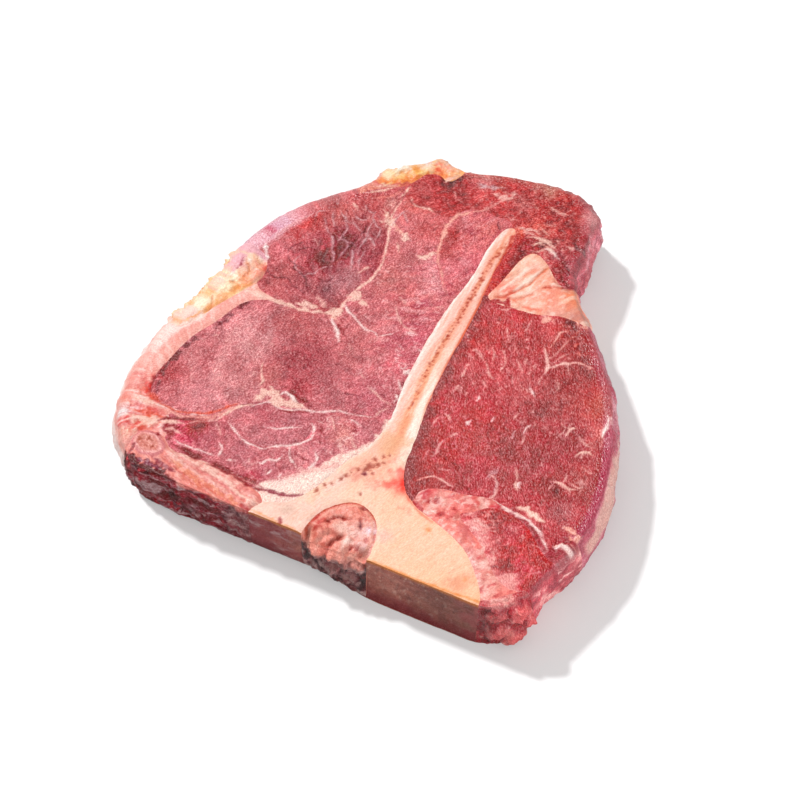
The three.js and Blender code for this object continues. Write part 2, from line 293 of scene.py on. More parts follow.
grid = np.stack(np.meshgrid(xs, ys), -1)
padded = np.full((rows + 2, columns + 2), -1)
padded[1:-1, 1:-1] = label
corner = np.stack([padded[:-1, :-1], padded[:-1, 1:], padded[1:, :-1], padded[1:, 1:]])
used = (corner >= 0).any(0)
number = np.arange((rows + 1) * (columns + 1)).reshape(rows + 1, columns + 1)


def edges_between():
    """Lattice edges with different nodes on their two sides: start, end, left node, right node."""
    across = padded[1:-1, :-1] != padded[1:-1, 1:]       # vertical edges
    j, i = np.nonzero(across)
    up = np.stack([number[j, i], number[j + 1, i], padded[1:-1, :-1][j, i],
                   padded[1:-1, 1:][j, i]], 1)
    along = padded[:-1, 1:-1] != padded[1:, 1:-1]        # horizontal edges
    j, i = np.nonzero(along)
    right = np.stack([number[j, i], number[j, i + 1], padded[1:, 1:-1][j, i],
                      padded[:-1, 1:-1][j, i]], 1)
    return np.vstack([up, right])


borders = edges_between()
flat = grid.reshape(-1, 2).copy()

# rim points take their place on the upper edge, in order round it
outer = borders[(borders[:, 2] < 0) | (borders[:, 3] < 0)]
nexts = {}
for a, b, left, right in outer:
    if left >= 0:
        nexts[a] = b
    else:
        nexts[b] = a
start = int(next(iter(nexts)))
ring = [start]
while (following := int(nexts[ring[-1]])) != start:
    ring.append(following)
ring = np.array(ring)
tree = kdtree.KDTree(len(upper_edge))
for k, (x, y) in enumerate(upper_edge):
    tree.insert((x, y, 0), k)
tree.balance()
place = np.array([tree.find((*flat[v], 0))[1] for v in ring], float)
count = len(upper_edge)
place = np.unwrap(place / count * 2 * np.pi) / (2 * np.pi) * count
turns = round((place[-1] - place[0]) / count)
for _ in range(RIM_PASSES):
    before = np.roll(place, 1)
    after = np.roll(place, -1)
    before[0] -= turns * count
    after[-1] += turns * count
    place = (before + place + after) / 3
ring_at = np.round(place).astype(int) % count
flat[ring] = upper_edge[ring_at]
rim_index = np.full(len(flat), -1)
rim_index[ring] = ring_at

# seams: smoothed along themselves
seam_edges = borders[(borders[:, 2] >= 0) & (borders[:, 3] >= 0)][:, :2]
degree = np.zeros(len(flat))
np.add.at(degree, seam_edges.ravel(), 1)
movable = (degree > 0) & (rim_index < 0)
for step in range(SEAM_PASSES):
    total = np.zeros_like(flat)
    np.add.at(total, seam_edges[:, 0], flat[seam_edges[:, 1]])
    np.add.at(total, seam_edges[:, 1], flat[seam_edges[:, 0]])
    gain = -0.5 if step % 2 and step > 8 else 0.5
    flat[movable] += gain * (total[movable] / degree[movable][:, None] - flat[movable])

# the rest settles between them
fixed = (degree > 0) | (rim_index >= 0) | ~used.ravel()
free = ~fixed
grid = flat.reshape(rows + 1, columns + 1, 2)
free_grid = free.reshape(rows + 1, columns + 1)
for _ in range(REST_PASSES):
    mean = np.zeros_like(grid)
    mean[1:-1, 1:-1] = (grid[:-2, 1:-1] + grid[2:, 1:-1] + grid[1:-1, :-2] + grid[1:-1, 2:]) / 4
    grid[free_grid] = mean[free_grid]
flat = grid.reshape(-1, 2)

# distance to the nearest seam
tree = kdtree.KDTree(int(movable.sum()))
for k, v in enumerate(np.nonzero(movable)[0]):
    tree.insert((*flat[v], 0), k)
tree.balance()
seam_distance = np.zeros(len(flat))
for v in np.nonzero(used.ravel())[0]:
    seam_distance[v] = tree.find((*flat[v], 0))[2]

# distance to the upper edge, and the underside's own outline
tree = kdtree.KDTree(len(ring))
for k, v in enumerate(ring):
    tree.insert((*flat[v], 0), k)
tree.balance()
members = np.nonzero(used.ravel())[0]
edge_distance = np.full(len(flat), 1e3)
under = flat.copy()
reach = np.array([tree.find((*flat[v], 0))[1:] for v in members])
near_ring = ring_at[reach[:, 0].astype(int)]
edge_distance[members] = reach[:, 1]
lower_shift = rim_normal[near_ring] * (rim[near_ring, 2] - rim[near_ring, 3])[:, None]
under[members] += lower_shift * (np.clip(1 - reach[:, 1] / RIM_SPREAD, 0, 1) ** 2)[:, None]


# ---- painting ----

class Canvas:
    """Colour, relief, fatness and wetness at a set of places on a cut face."""

    def __init__(self, x, y, edge):
        self.x, self.y, self.edge = x, y, edge
        self.colour = np.zeros((len(x), 3))
        self.rise = np.zeros(len(x))
        self.fat = np.zeros(len(x))
        self.gloss = np.full(len(x), 0.5)

    def base(self, code, fat=0.0, gloss=0.5):
        self.colour[:] = rgb(code)
        self.fat[:] = fat
        self.gloss[:] = gloss

    def blend(self, amount, code, fat=None):
        amount = np.clip(amount, 0, 1)
        self.colour += (rgb(code) - self.colour) * amount[:, None]
        if fat is not None:
            self.fat += (fat - self.fat) * amount

    def spot(self, x, y, radius, code, strength=1.0, ragged=0.5, fat=None, rise=0.0, sharp=1.0):
        """A soft patch of colour. sharp above 1 gives it a harder edge."""
        d2 = ((self.x - x) / radius) ** 2 + ((self.y - y) / radius) ** 2
        shake = noise(self.x, self.y, max(radius * 0.5, 0.8), int(abs(x * 3 + y)) % 41)
        d2 = d2 * np.clip(1 + ragged * shake, 0.3, 3)
        amount = np.exp(-np.clip(d2, 0, 50) ** sharp)
        self.blend(strength * amount, code, fat)
        self.rise += rise * amount

    def line(self, points, width, code, strength=1.0, soft=0.35, ragged=0.4, fat=0.8, rise=0.0,
             taper=0.15, patchy=0.0, seed=5):
        """A line of that width in mm, ragged at its edges and thin at its ends."""
        curve = open_curve(points)
        width = np.atleast_1d(np.array(width, float))
        pad = width.max() + soft + 1.5
        near = ((self.x > curve[:, 0].min() - pad) & (self.x < curve[:, 0].max() + pad)
                & (self.y > curve[:, 1].min() - pad) & (self.y < curve[:, 1].max() + pad))
        self.last = np.zeros(len(self.x))
        if not near.any():
            return
        x, y = self.x[near], self.y[near]
        shake = 0.35 * ragged
        wx = x + shake * noise(x, y, 2.2, seed, 2)
        wy = y + shake * noise(x, y, 2.2, seed + 9, 2)
        d, at = to_line(wx, wy, curve)
        half = np.interp(at, np.linspace(0, 1, len(width)), width) / 2
        if taper:
            half = half * (0.35 + 0.65 * smooth(0, taper, at) * smooth(0, taper, 1 - at))
        half = half * (1 + ragged * noise(x, y, 1.7, seed + 4, 2))
        amount = smooth(-soft, soft, half - d)
        if patchy:
            amount = amount * smooth(-patchy, 0.3, noise(x, y, 3.0, seed + 2, 2) + 0.3)
        full = np.zeros(len(self.x))
        full[near] = amount
        self.last = full
        self.blend(strength * full, code, fat)
        self.rise += rise * full

    def grain(self, size, depth, relief, angle, stretch, seed, share):
        """Bundles of muscle fibre: painted highlight on their tops, painted shade between them."""
        u, v = turned(self.x, self.y, angle, stretch)
        n = noise(u, v, size, seed, 3)
        lean = 1 - self.fat
        self.colour *= (1 + depth * n * lean)[:, None]
        self.blend(share * smooth(0.35, 1.2, n) * lean, FIBRE_TOP_HIGHLIGHT)
        self.blend(share * smooth(0.35, 1.2, -n) * lean, FIBRE_GAP_SHADE)
        self.rise += relief * n * lean

    def mottle(self, size, depth, seed=2):
        n = noise(self.x, self.y, size, seed, 3)
        self.colour *= (1 + depth * n)[:, None]

    def throw(self, centre, radius, number, length, width, angle, spread, code, seed, strength):
        """Short pale marks of fat, thrown at random about a centre."""
        rng = np.random.default_rng(seed)
        for _ in range(number):
            r = radius * math.sqrt(rng.random())
            a = rng.uniform(0, 2 * math.pi)
            x, y = centre[0] + r * math.cos(a), centre[1] + r * math.sin(a)
            lie = math.radians(angle + rng.uniform(-spread, spread))
            long = length * rng.uniform(0.4, 1.4)
            mid = rng.uniform(-0.25, 0.25) * long
            dx, dy = math.cos(lie), math.sin(lie)
            points = [(x - dx * long / 2, y - dy * long / 2), (x - dy * mid, y + dx * mid),
                      (x + dx * long / 2, y + dy * long / 2)]
            wide = 0.95 * width * rng.uniform(0.5, 1.6)
            self.line(points, wide, code, strength * rng.uniform(0.5, 1), taper=0.4, ragged=0.8,
                      soft=0.3, seed=int(rng.integers(1, 60)))
            if rng.random() < FORKED:
                lean = lie + rng.choice([-1, 1]) * rng.uniform(0.6, 1.3)
                end = (x + math.cos(lean) * long * 0.6, y + math.sin(lean) * long * 0.6)
                self.line([(x, y), end], wide * 0.8, code, strength * 0.8, taper=0.4, soft=0.3)

    def flecks(self, text):
        """Groups of thrown marks, one to a row: x, y, radius, number, length, width, angle, spread,
        colour, seed, strength."""
        for row in text.strip().splitlines():
            *place, code, seed, strength = row.split()
            x, y, radius, number, *shape = (float(v) for v in place)
            self.throw((x, y), radius, int(number), *shape, code, int(seed), float(strength))

    def spots(self, text, strength=0.85, rise=0.0, **how):
        """Soft patches, parted by commas: x, y, radius, colour, and their own strength and rise
        where these differ."""
        for row in text.split(","):
            x, y, radius, code, *own = row.split()
            own = [float(v) for v in own] + [strength, rise][len(own):]
            self.spot(float(x), float(y), float(radius), code, own[0], rise=own[1], **how)

    def lines(self, text, **how):
        for code, strength, rise, widths, points in read_rows(text):
            self.line(points, widths, code, strength, rise=rise, **how)

    def waves(self, n, light, dark, rise=0.0, where=1.0):
        """Colours the crests of a noise light and its troughs dark, and lifts the crests: where it lifts
        them, the light crests are painted highlight and the dark troughs painted shade. Each tone has a
        colour, a strength, the heights where it begins and is full, and perhaps a fatness."""
        for (code, strength, low, high, *fat), height in ((light, n), (dark, -n)):
            self.blend(strength * where * smooth(low, high, height), code, *fat)
        self.rise += rise * where * n


def read_rows(text):
    """Rows of "name strength rise | widths | points"."""
    for row in text.strip().splitlines():
        head, widths, points = row.split("|")
        name, strength, rise = head.split()
        places = [tuple(float(v) for v in point.split(",")) for point in points.split()]
        yield name, float(strength), float(rise), [float(w) for w in widths.split()], places


# painted highlight on the tops of the fibre bundles, and painted shade in the gaps between them
FIBRE_TOP_HIGHLIGHT, FIBRE_GAP_SHADE = "#f0aaa6", "#7c2a34"
FORKED = 0.3         # share of the thrown marks that fork
BONE_PORES = 150     # the large ones, along the middle of its arm

# What runs through the cut face: colour, fatness and thickness of each kind of tissue. The pale
# lilac-pink tone is a painted sheen on the ridges of folds, and the dark tone of gaps is painted shade.
TONES = {
    "cream": ("#f5c2b2", 1.0, 0.72), "white": ("#fad8d2", 1.0, 0.64), "peach": ("#f2a898", 0.9, 0.65),
    "blush": ("#f0b4aa", 0.95, 0.66), "lilac": ("#dcb2b4", 0.5, 0.46), "pinkband": ("#ee9f94", 0.8, 0.75),
    "ember": ("#e2523c", 0.3, 0.7), "blood": ("#8f1f2c", 0.0, 0.65), "gape": ("#6e2c38", 0.0, 0.42),
    "lean": ("#a83a48", 0.0, 0.8),
}
# Sheets of tissue cut through, threads of fat, folds with painted sheen and gaps with painted shade,
# one to a row: tone, strength, rise | widths | points. A backslash carries a row on.
MARKS = """
cream 0.95 0.25 | 3 2.2 1.5 1.4 1.1 1 | -70,-6.3 -63.8,-5.8 -57.5,-5.8 -51.1,-5.5 -44.4,-5 -40,-3.5 \
    -35.5,-2.5
cream 0.95 0.25 | 1.2 1.5 1.4 1.3 1.1 0.9 0.8 0.8 0.8 0.9 0.7 0.5 0.5 | -32,5.1 -30.9,9.7 -29.9,13.1 \
    -27.9,17 -26.6,20.8 -26.6,23.6 -25.9,27 -26.4,31.4 -27.6,36.2 -28.6,40.4 -30.1,44.4 -31.9,50.5 \
    -32.4,54.2 -32.1,58.2 -32,61.4
white 0.9 0.2 | 1 0.8 0.7 0.6 | -32,5.1 -29.4,2.1 -26.1,0.7 -22.6,-1.4 -19.1,-2.9 -14.8,-3.1 -12.9,-4.5
white 0.9 0.2 | 1.2 1 0.9 0.7 | -33,-1.1 -32.5,-5.2 -28.9,-8.1 -25.8,-12.8
cream 0.9 0.2 | 1.3 1 | -33,-1.1 -32.1,2.8 -32,5.1
peach 0.8 0.1 | 2.6 2 1 | -31.9,49.8 -28.8,47.4 -23.6,45
peach 0.7 0.1 | 2 1 | -36.4,53.2 -33.8,50.4 -31.2,48.5
cream 0.8 0.1 | 1.2 2.6 1.6 | -30.6,8.8 -27.4,9 -23.4,7.8
cream 0.75 0.1 | 1 2.4 1.4 | -50.4,-3.4 -45.6,-2.4 -40.6,-2.2
blush 0.7 0.1 | 1 2.2 1 | -43.5,3.1 -41.1,1.5 -38,0.1
cream 0.7 0.1 | 0.8 0.9 0.6 | -29.6,24.6 -31.5,22.4 -33.1,19.8
lilac 0.75 0.5 | 0.5 0.6 0.7 1.2 1.5 1.2 | -57.2,39.4 -55.4,36.8 -53.1,33.9 -51,32.5 -48.6,29.8 -46.9,25.9 \
    -44.8,22.2 -44.4,19.8
lilac 0.5 0.2 | 0.5 | -54.8,43.2 -53.5,39.9 -51.2,37
lean 0.9 -0.1 | 2 4 3.4 | -73.4,-75.6 -70.4,-76.4 -66.5,-77.6
peach 0.8 0.1 | 2 2.6 1.2 | 55.6,39.4 58.6,36.4 61.6,33.4
lilac 0.6 0.3 | 0.6 1 0.6 | -47.1,31.1 -46.4,33.1 -46,35.6 -46,37.9 -47.9,40.5
lilac 0.65 0.6 | 0.8 1.2 1 0.7 | -43.5,32 -42.1,30.2 -42.1,28 -42.8,25.5 -43,22.9
lilac 0.65 0.6 | 0.8 1.5 1.2 0.8 | -39.9,29.2 -38.6,27.3 -37.5,24 -36.4,20.3
lilac 0.65 0.4 | 1.2 0.8 0.6 0.6 0.5 | -37,28.8 -37.5,31.8 -37,34.2 -37,36.9 -37.6,39.4 -38,41.5 -38,43.9 \
    -38,46.4
lilac 0.6 0.3 | 0.5 0.7 0.5 | -37.5,34.8 -36,37.1 -33.9,36.4 -31.9,34.9
lilac 0.6 0.3 | 0.5 0.6 0.6 0.7 0.5 | -46.6,43.9 -44.6,41.6 -41.9,39.9 -39.5,38.9 -37.5,38.8 -35,37.5 \
    -32.1,34.9
cream 0.7 0.2 | 0.6 0.9 0.5 | -49.5,50.5 -48.1,50 -46.6,49.1
lilac 0.6 0.4 | 0.6 0.8 0.6 | -47.1,30.4 -45.5,32.4 -43.5,32.2 -41.2,32.4 -39.1,31.6
blush 0.6 0.1 | 0.5 0.8 0.4 | -56.5,27.8 -54.8,27.3 -53,25.3
lilac 0.6 0.3 | 0.5 0.8 0.6 0.5 | -52.6,9.6 -51,11.5 -48.8,12.8 -47.5,15.2 -46,17.2 -43.9,18.6
lilac 0.45 0.2 | 0.6 0.8 0.5 | -33.4,22.9 -35,25.2 -35.1,28.2 -34.5,31.5
lilac 0.45 0.2 | 0.5 | -48.6,40.5 -49,43.5 -50.4,45.6
gape 0.6 -0.5 | 0.5 0.7 0.6 0.6 0.4 | -57.8,13.3 -57.9,11.6 -55.5,10.6 -53,10.2 -50.8,8.2 -49,5.2 -46.6,2.4
gape 0.5 -0.4 | 0.5 | -59.5,18.4 -59.4,20.8 -57.6,22.5 -54.9,23.8
gape 0.5 -0.4 | 0.5 | -53.8,3.7 -50.9,3.1 -48.6,2.4
gape 0.4 -0.3 | 0.4 | -63.3,16.9 -63.2,20 -61.5,22.6 -59.6,24.8
gape 0.55 -0.4 | 0.5 0.9 0.5 | -51.4,28.4 -49.4,24.8 -48.4,20.6 -47.6,17.9
gape 0.5 -0.3 | 0.8 1.4 0.8 | -40.6,23.4 -40.5,27.3 -41,30.9 -40.1,34.8
gape 0.5 -0.4 | 0.6 1.2 0.6 | -39.5,36.9 -39.4,39.4 -39.5,42.4
blush 0.75 0.15 | 0.6 1 0.8 0.9 0.5 | -12.2,12.2 -10.4,9.2 -8.2,6.6 -4.2,4.2 0.6,3.9
blush 0.6 0.1 | 0.6 0.8 0.4 | -13.3,17 -10.8,15.8 -8.8,14.5
cream 0.6 0.1 | 0.5 0.8 0.5 | -24.8,40.6 -22.6,37.8 -22.1,35.6
white 0.8 0.3 | 0.5 0.9 0.6 | -3.5,2.8 -1.2,2.9 1.2,2.9
white 0.7 0.2 | 0.5 0.6 | -11.8,-3.2 -9.9,-2.1 -8.2,-0.6
blush 0.7 0.1 | 0.5 0.8 0.9 0.5 | -6.8,-26.5 -3,-28.2 0.8,-29.6 5.2,-30.5
white 0.9 0.5 | 0.8 1.6 1 | 2.5,-14.2 4.3,-14.8 4.8,-12.4
white 0.9 0.5 | 0.8 1.4 1.6 | 2.5,-19 4.5,-21.2 7,-22.5
white 0.85 0.3 | 0.5 0.8 | -0.2,-12.5 2.2,-13.7 3.5,-11.9
white 0.85 0.4 | 1.4 0.8 | 4.7,-25.6 5.8,-26.7 5.5,-28.9
gape 0.7 -0.4 | 2.2 2.6 | 4.7,-19.1 6.2,-19.5
blush 0.5 0.1 | 0.5 | -12.2,-22.4 -9.2,-24
blush 0.5 0.1 | 0.5 | -22.4,-11.8 -19.8,-14.2
cream 0.8 0.15 | 0.6 0.9 1.2 0.9 | -49.2,-33.9 -48.4,-37.5 -46.9,-39.6 -45.4,-41.9 -45.9,-44.4
gape 0.5 -0.3 | 0.5 | -14.8,-33.6 -10.3,-32.4 -5.7,-31.7
blood 0.6 -0.2 | 1.2 2.2 1.4 | -36.6,-40.1 -30.1,-42.1 -22.9,-43.9
blood 0.5 -0.2 | 1 1.6 0.8 | -32.8,-6.1 -28.8,-6.5 -24.9,-9.2
pinkband 0.9 0.2 | 2.2 2.6 2.4 1.8 1.6 1.8 | -82.7,-70.3 -77.8,-68.5 -72,-68.8 -67.8,-68.6 -60.1,-66.1 \
    -54.5,-62.5 -51,-58.1 -48.9,-55.6
white 0.9 0.3 | 0.8 0.7 0.6 0.5 | -81.3,-67.9 -77.5,-67.9 -72.8,-67.3 -68.3,-67.3 -62.9,-65.8 -57.6,-63.8
ember 0.9 -0.1 | 0.6 0.9 0.9 0.9 0.6 | -78.2,-67.4 -74.8,-67.2 -70.2,-67.3 -65.2,-66 -60.1,-63.8 -55.9,-61 \
    -52.8,-57.2 -50.1,-54.9
cream 0.85 0.2 | 1.6 2.4 2.4 1 | -82,-79.9 -78.5,-76.9 -75.3,-74.6 -70.2,-72.4 -64.5,-71.3
blood 0.85 -0.3 | 0.6 1.4 1 0.5 | -75.5,-74.4 -72.5,-71.8 -69.2,-70.6 -65,-69.1 -59.4,-66.5
white 0.95 0.25 | 0.5 0.6 0.5 0.6 0.5 | -44.8,-54.4 -42.4,-51.6 -39.1,-49.1 -34.4,-50.1 -30.9,-49.4 \
    -25.4,-46.6 -21.9,-46 -17.2,-44.1 -13.4,-41.6 -8.8,-40.8 -4.5,-39.8 0.5,-38.2
blood 0.5 -0.1 | 0.8 0.9 | -34.5,-51.1 -30.6,-50.1 -26.6,-48.1 -23.2,-47.1
cream 0.85 0.2 | 3 5 4 1.6 | -44.5,-50.9 -42,-46.1 -35.9,-46.9 -30.1,-46 -23.9,-45.9
white 1 0.7 | 0.8 2.2 2 0.8 | -36.5,-44.9 -35.2,-43.1 -32.1,-43.6 -28.9,-45.2
white 0.95 0.15 | 0.4 0.6 0.6 0.7 0.6 | -50.1,-63.6 -46.5,-65.9 -43,-67.8 -38.8,-69 -35,-69
white 0.95 0.25 | 0.7 0.9 1 0.9 1 1.1 1 | -31.1,-68.1 -28.6,-65.8 -23.1,-63 -19.9,-60.8 -17.6,-57.6 \
    -17.4,-54.8 -18.1,-52.2 -19.8,-50.6
white 0.85 0.1 | 0.4 0.5 0.4 | -34.5,-60.1 -30.2,-58.4 -26.4,-56.1 -22.6,-54.5
white 0.9 0.2 | 0.7 0.8 0.9 0.8 | -23.2,-63.1 -21.9,-66.6 -20.4,-68.6 -17.6,-70.3
white 0.9 0.2 | 0.8 1 1.2 0.9 | -13.3,-61.4 -11.4,-64 -11.3,-67.9 -12.6,-69.4
white 0.85 0.15 | 0.5 0.8 0.8 0.8 0.6 | -32.1,-74.8 -29.8,-74.8 -28.4,-72.3 -25.2,-71.2 -23.9,-68.5
white 0.85 0.1 | 0.7 0.8 | -25.9,-77.9 -25.1,-75.8
white 0.8 0.1 | 0.7 0.9 | -21.6,-77.8 -21.2,-75.9
white 0.85 0.2 | 0.5 0.7 0.8 0.7 0.6 | -65.5,-79.4 -62.5,-80.1 -58.2,-79.8 -53.4,-79.6 -48.4,-79.3
white 0.85 0.2 | 1 1.2 0.9 | -49,-73.3 -47,-75.4 -46.5,-78.6
white 0.8 0.2 | 0.8 0.9 | -43.1,-79.1 -39.6,-78.1
cream 0.6 0.1 | 0.8 1.6 0.8 | -71,-77 -70.3,-75.8 -68,-75.6 -64,-75.9
white 0.9 0.2 | 0.5 0.7 0.5 | -6.8,-42.9 -4,-43.1 -1.5,-43.6
blush 0.7 0.1 | 0.6 0.9 0.6 | -14.3,-45 -11.9,-47.4 -10.2,-50.1
blush 0.7 0.1 | 0.6 0.9 0.9 | -3.8,-49.2 -1.4,-51.6 0.8,-54.1
blush 0.7 0.1 | 0.6 1 0.8 | -7,-52.9 -3.8,-57 -3,-61.5
blush 0.6 0.1 | 0.5 0.8 | 1.4,-37.6 2.1,-35.2 4.5,-32
blood 0.6 -0.2 | 0.8 1.4 0.8 | -4.8,-44.1 -2.8,-46.6 -4.8,-46.9
blood 0.5 -0.2 | 0.8 1.4 0.8 | -15.8,-49.8 -14.2,-54.6 -13.2,-57.8
blood 0.85 -0.5 | 0.8 1.6 1.4 1.2 0.8 | -48.9,-82.3 -44.5,-82.5 -40,-82.6 -35.5,-83.1 -30.4,-83.6 -25.1,-84
cream 0.7 0.2 | 0.5 0.6 0.5 | -44,-83.3 -38.5,-83.3 -33.2,-83.9 -28.2,-84
blood 0.7 -0.4 | 0.5 0.8 0.5 | -66.2,-81.2 -61,-81.6 -54.5,-82.1 -50.6,-82.5
peach 0.95 0.3 | 1.2 2.4 2.6 2.3 2 1.7 1.4 1 0.8 0.6 0.5 0.6 0.7 | 0.9,69.5 -2.8,67 -6.2,64.2 -8.2,61.8 \
    -9.1,58.6 -9.2,55.1 -8.8,50.6 -8.3,46.1 -7.2,42 -5.7,38.9 -3,35.6 -0.9,32.8 0.9,29 3.5,26.8
blush 0.4 0.1 | 1.6 0.8 | 0.9,69.5 4,73.8 7.3,77.7 10.7,80.6
cream 0.85 0.2 | 1 2.6 2.2 1.2 | -14.6,37.9 -11.9,38.4 -9.6,40.9 -8.1,42.6
cream 0.75 0.1 | 0.5 0.7 0.8 0.6 | -28.8,63.4 -26.9,61 -24.4,60.5 -19.6,61.1 -17.2,60.6
cream 0.8 0.3 | 0.4 0.7 0.5 | 26.2,61.8 27.9,63.9 30.4,66
cream 0.85 0.3 | 0.5 0.7 0.5 | 26.4,59.8 29.2,60 31.4,61.9
white 0.85 0.4 | 0.6 1.4 1 0.6 | 31.2,62.6 34,63 36.8,61.4 39.1,60
cream 0.7 0.3 | 0.4 0.6 0.4 | 29.1,67.2 32.6,66.2 35.5,64.5
cream 0.6 0.2 | 0.4 0.5 | 24.2,72.7 27.8,70.4 30.9,68.8
blush 0.5 0.1 | 0.5 0.8 | 31.1,62.5 33.1,58.9 35.5,57.8
blush 0.5 0.1 | 0.5 1.2 0.5 | 5.2,81.2 7.7,81.4 9.8,84.1
blood 0.7 -0.4 | 0.8 1.6 0.8 | 32.9,73.5 35.2,73.8 37.2,72.8
gape 0.8 -0.5 | 1 2.4 1 | 40.9,70.2 43.8,68.4 47,68.4
gape 0.7 -0.4 | 1 1.8 1 | 41.6,59.8 44.4,57.1 45.1,53.8
gape 0.6 -0.3 | 0.5 0.9 0.5 | 8.9,68.1 9.6,65.2 11.2,63.6
blood 0.5 -0.2 | 0.5 0.8 0.5 | -3.2,59.4 -4.2,55.8 -5.2,52.2
blush 1 0.2 | 0.9 1.1 1.6 1.3 | 49.6,19 51.1,16.6 53.4,13.3 54.5,10.5 54.8,7.7
blush 1 0.2 | 0.8 1.3 1.1 1.2 0.8 | 54.5,10.5 56.6,12.2 58.9,14.7 62.6,16.5 65.3,18 68.7,18 71,17.8
white 0.9 0.3 | 1.4 1 0.4 | 51.5,-0.9 52.9,-2.1 55.8,-5.1
blush 0.55 0.1 | 0.4 0.6 | 54,1.9 54,5.4 54.4,8.1
blush 0.6 0.1 | 0.5 0.8 0.5 | 52,19.9 52.5,25 53.2,28.4 55.8,30.3
blush 0.6 0.1 | 0.4 0.7 0.4 | 42.1,9.1 44.5,6.7 46,5.1
blush 0.8 0.15 | 0.5 1 0.9 0.4 | 30.9,3.4 33,0.7 34.8,-1.8 37.1,-3.1
blush 0.5 0.1 | 0.4 0.5 | 36.9,16.8 39.6,13.7 41.8,11.3
blush 0.6 0.1 | 0.5 0.8 | 24.9,-2.1 25.1,-5.2 25.4,-7
blush 0.6 0.1 | 1.2 1.4 | 24.4,-14.4 25.9,-11.2
white 0.8 0.2 | 0.6 0.9 | 34.9,-14.9 35.4,-13
white 0.8 0.2 | 0.6 1 0.5 | 36.5,-23.7 35.6,-25.4 35.5,-26.7
white 0.6 0.1 | 0.5 0.6 | 44,-21.2 44.1,-19.2
blush 0.8 0.2 | 0.9 1.2 1 0.6 | 30.6,-35.6 29.6,-39.5 29.9,-42.1 29.1,-45.1
blush 0.6 0.1 | 0.6 0.8 | 33.5,-31.5 32,-33.8
blush 0.65 0.15 | 0.4 0.7 0.5 | 30.2,-54.6 32.4,-53 35.4,-52.4 39.5,-53.1
blush 0.5 0.1 | 0.5 | 33.6,-48.6 38.2,-47.5
white 0.6 0.1 | 0.5 0.6 | 53.6,-21.1 54.6,-24.8
white 0.6 0.1 | 0.5 0.7 | 58.6,-16.2 57.5,-18 57.6,-20.8
blush 0.85 0.2 | 0.8 1.3 0.8 | 74.5,-10.4 73.5,-12.2 73,-15.2
cream 0.6 0.1 | 0.4 0.7 0.5 | 79.8,-22 81.8,-18.9 84.8,-18
lilac 0.3 0.1 | 1 2 1.4 | 55.2,-37.1 53.4,-42.4 51.8,-45.2
lilac 0.5 0.1 | 0.8 1 0.6 | 54.9,-42.8 56.9,-45.8 58,-51.1
white 0.7 0.2 | 0.6 1 0.6 | 64.8,-40.8 64.2,-42.9 66,-43.6
blush 0.6 0.1 | 0.5 0.8 | 75.5,-40.1 76.5,-36.6
blush 0.6 0.1 | 0.5 0.8 | 78.2,-35 81.5,-35.1
blush 0.55 0.1 | 0.5 0.8 | 82.5,-33.1 86.5,-34.1 87.5,-32.6
blush 0.5 0.1 | 0.4 | 45.5,-47 47,-49.6
gape 0.2 -0.2 | 0.6 1.6 0.8 | 64.5,-0.2 66.3,-3.2 66,-5.8
blood 0.7 -0.4 | 0.5 0.9 0.5 | 36.6,-44.1 38.9,-44.1 41.6,-44.5
gape 0.7 -0.5 | 0.6 1.2 0.6 | 78.2,-38 79.7,-39.6
blood 0.5 -0.3 | 0.5 0.8 0.5 | 55.6,-32.8 58.1,-33.5
blood 0.5 -0.3 | 0.5 0.9 0.5 | 64.8,-27.2 62.8,-27
cream 0.5 0.1 | 0.6 1 | 66.8,28.4 68.8,26.1 69.8,24.6
white 0.95 0.3 | 0.8 0.9 1 1.1 0.8 0.5 | 71.5,-54.8 74.7,-55.2 77.7,-56.6 80.8,-58.5 83,-60.9 85,-62.8
cream 0.95 0.2 | 1.2 2.8 3.2 1.8 | 67.8,-51.8 71.5,-51.1 75.3,-52.1 79.8,-53.1
blush 0.8 0.1 | 0.6 1 0.5 | 56.5,-62.9 59,-64 61.5,-64.2
blush 0.7 0.1 | 0.5 0.9 0.5 | 65.5,-76.1 67,-78.8 69,-80.4
blush 0.7 0.1 | 0.5 0.9 0.5 | 66,-71.8 68.2,-74.8 68.8,-77.2
blush 0.6 0.1 | 0.5 0.9 0.5 | 61.1,-71.4 63.1,-73.2 63.9,-76.9
blush 0.6 0.1 | 0.6 1 | 74.5,-61.8 75.5,-62.9
white 0.9 0.3 | 1 2.2 2.6 2.2 1.4 | 87.7,-62.1 90.5,-60.2 93.8,-60.1 96,-62.2 98,-64.3
peach 0.9 0.2 | 1.6 3 3 2 | 87.5,-51.8 91.7,-52.6 94.8,-55.5 96.3,-59.8
blood 0.7 -0.4 | 0.6 1 0.5 | 73.2,-72.6 74.7,-75.2 74.2,-77.5
gape 0.6 -0.3 | 0.5 1 | 85.8,-48.5 87.3,-48.8
blush 0.6 0.1 | 0.5 0.8 0.5 | 79,-64 80.7,-63.8 82.7,-64.3
cream 0.8 0.15 | 0.8 1.2 1 | -54.6,-64.9 -52.7,-61.5 -50.7,-58.1 -47.9,-54.9 -44.4,-53
white 0.8 0.15 | 0.6 0.6 0.5 | -37.3,-69 -33.6,-69.1 -31,-68.5
blood 0.85 -0.4 | 0.8 2.2 1.6 | -61.3,-80.6 -56.7,-82.4 -52,-81.7
blood 0.8 -0.4 | 1 2.4 1.8 1.4 1.2 | -49,-84 -44.8,-83 -40.3,-83.4 -34.6,-84.6 -29.3,-85.3 -23.7,-84.9
white 0.7 0.1 | 1 2 1.4 | -94.1,-70.8 -95,-64.9 -94.1,-59.9 -93.9,-56.2
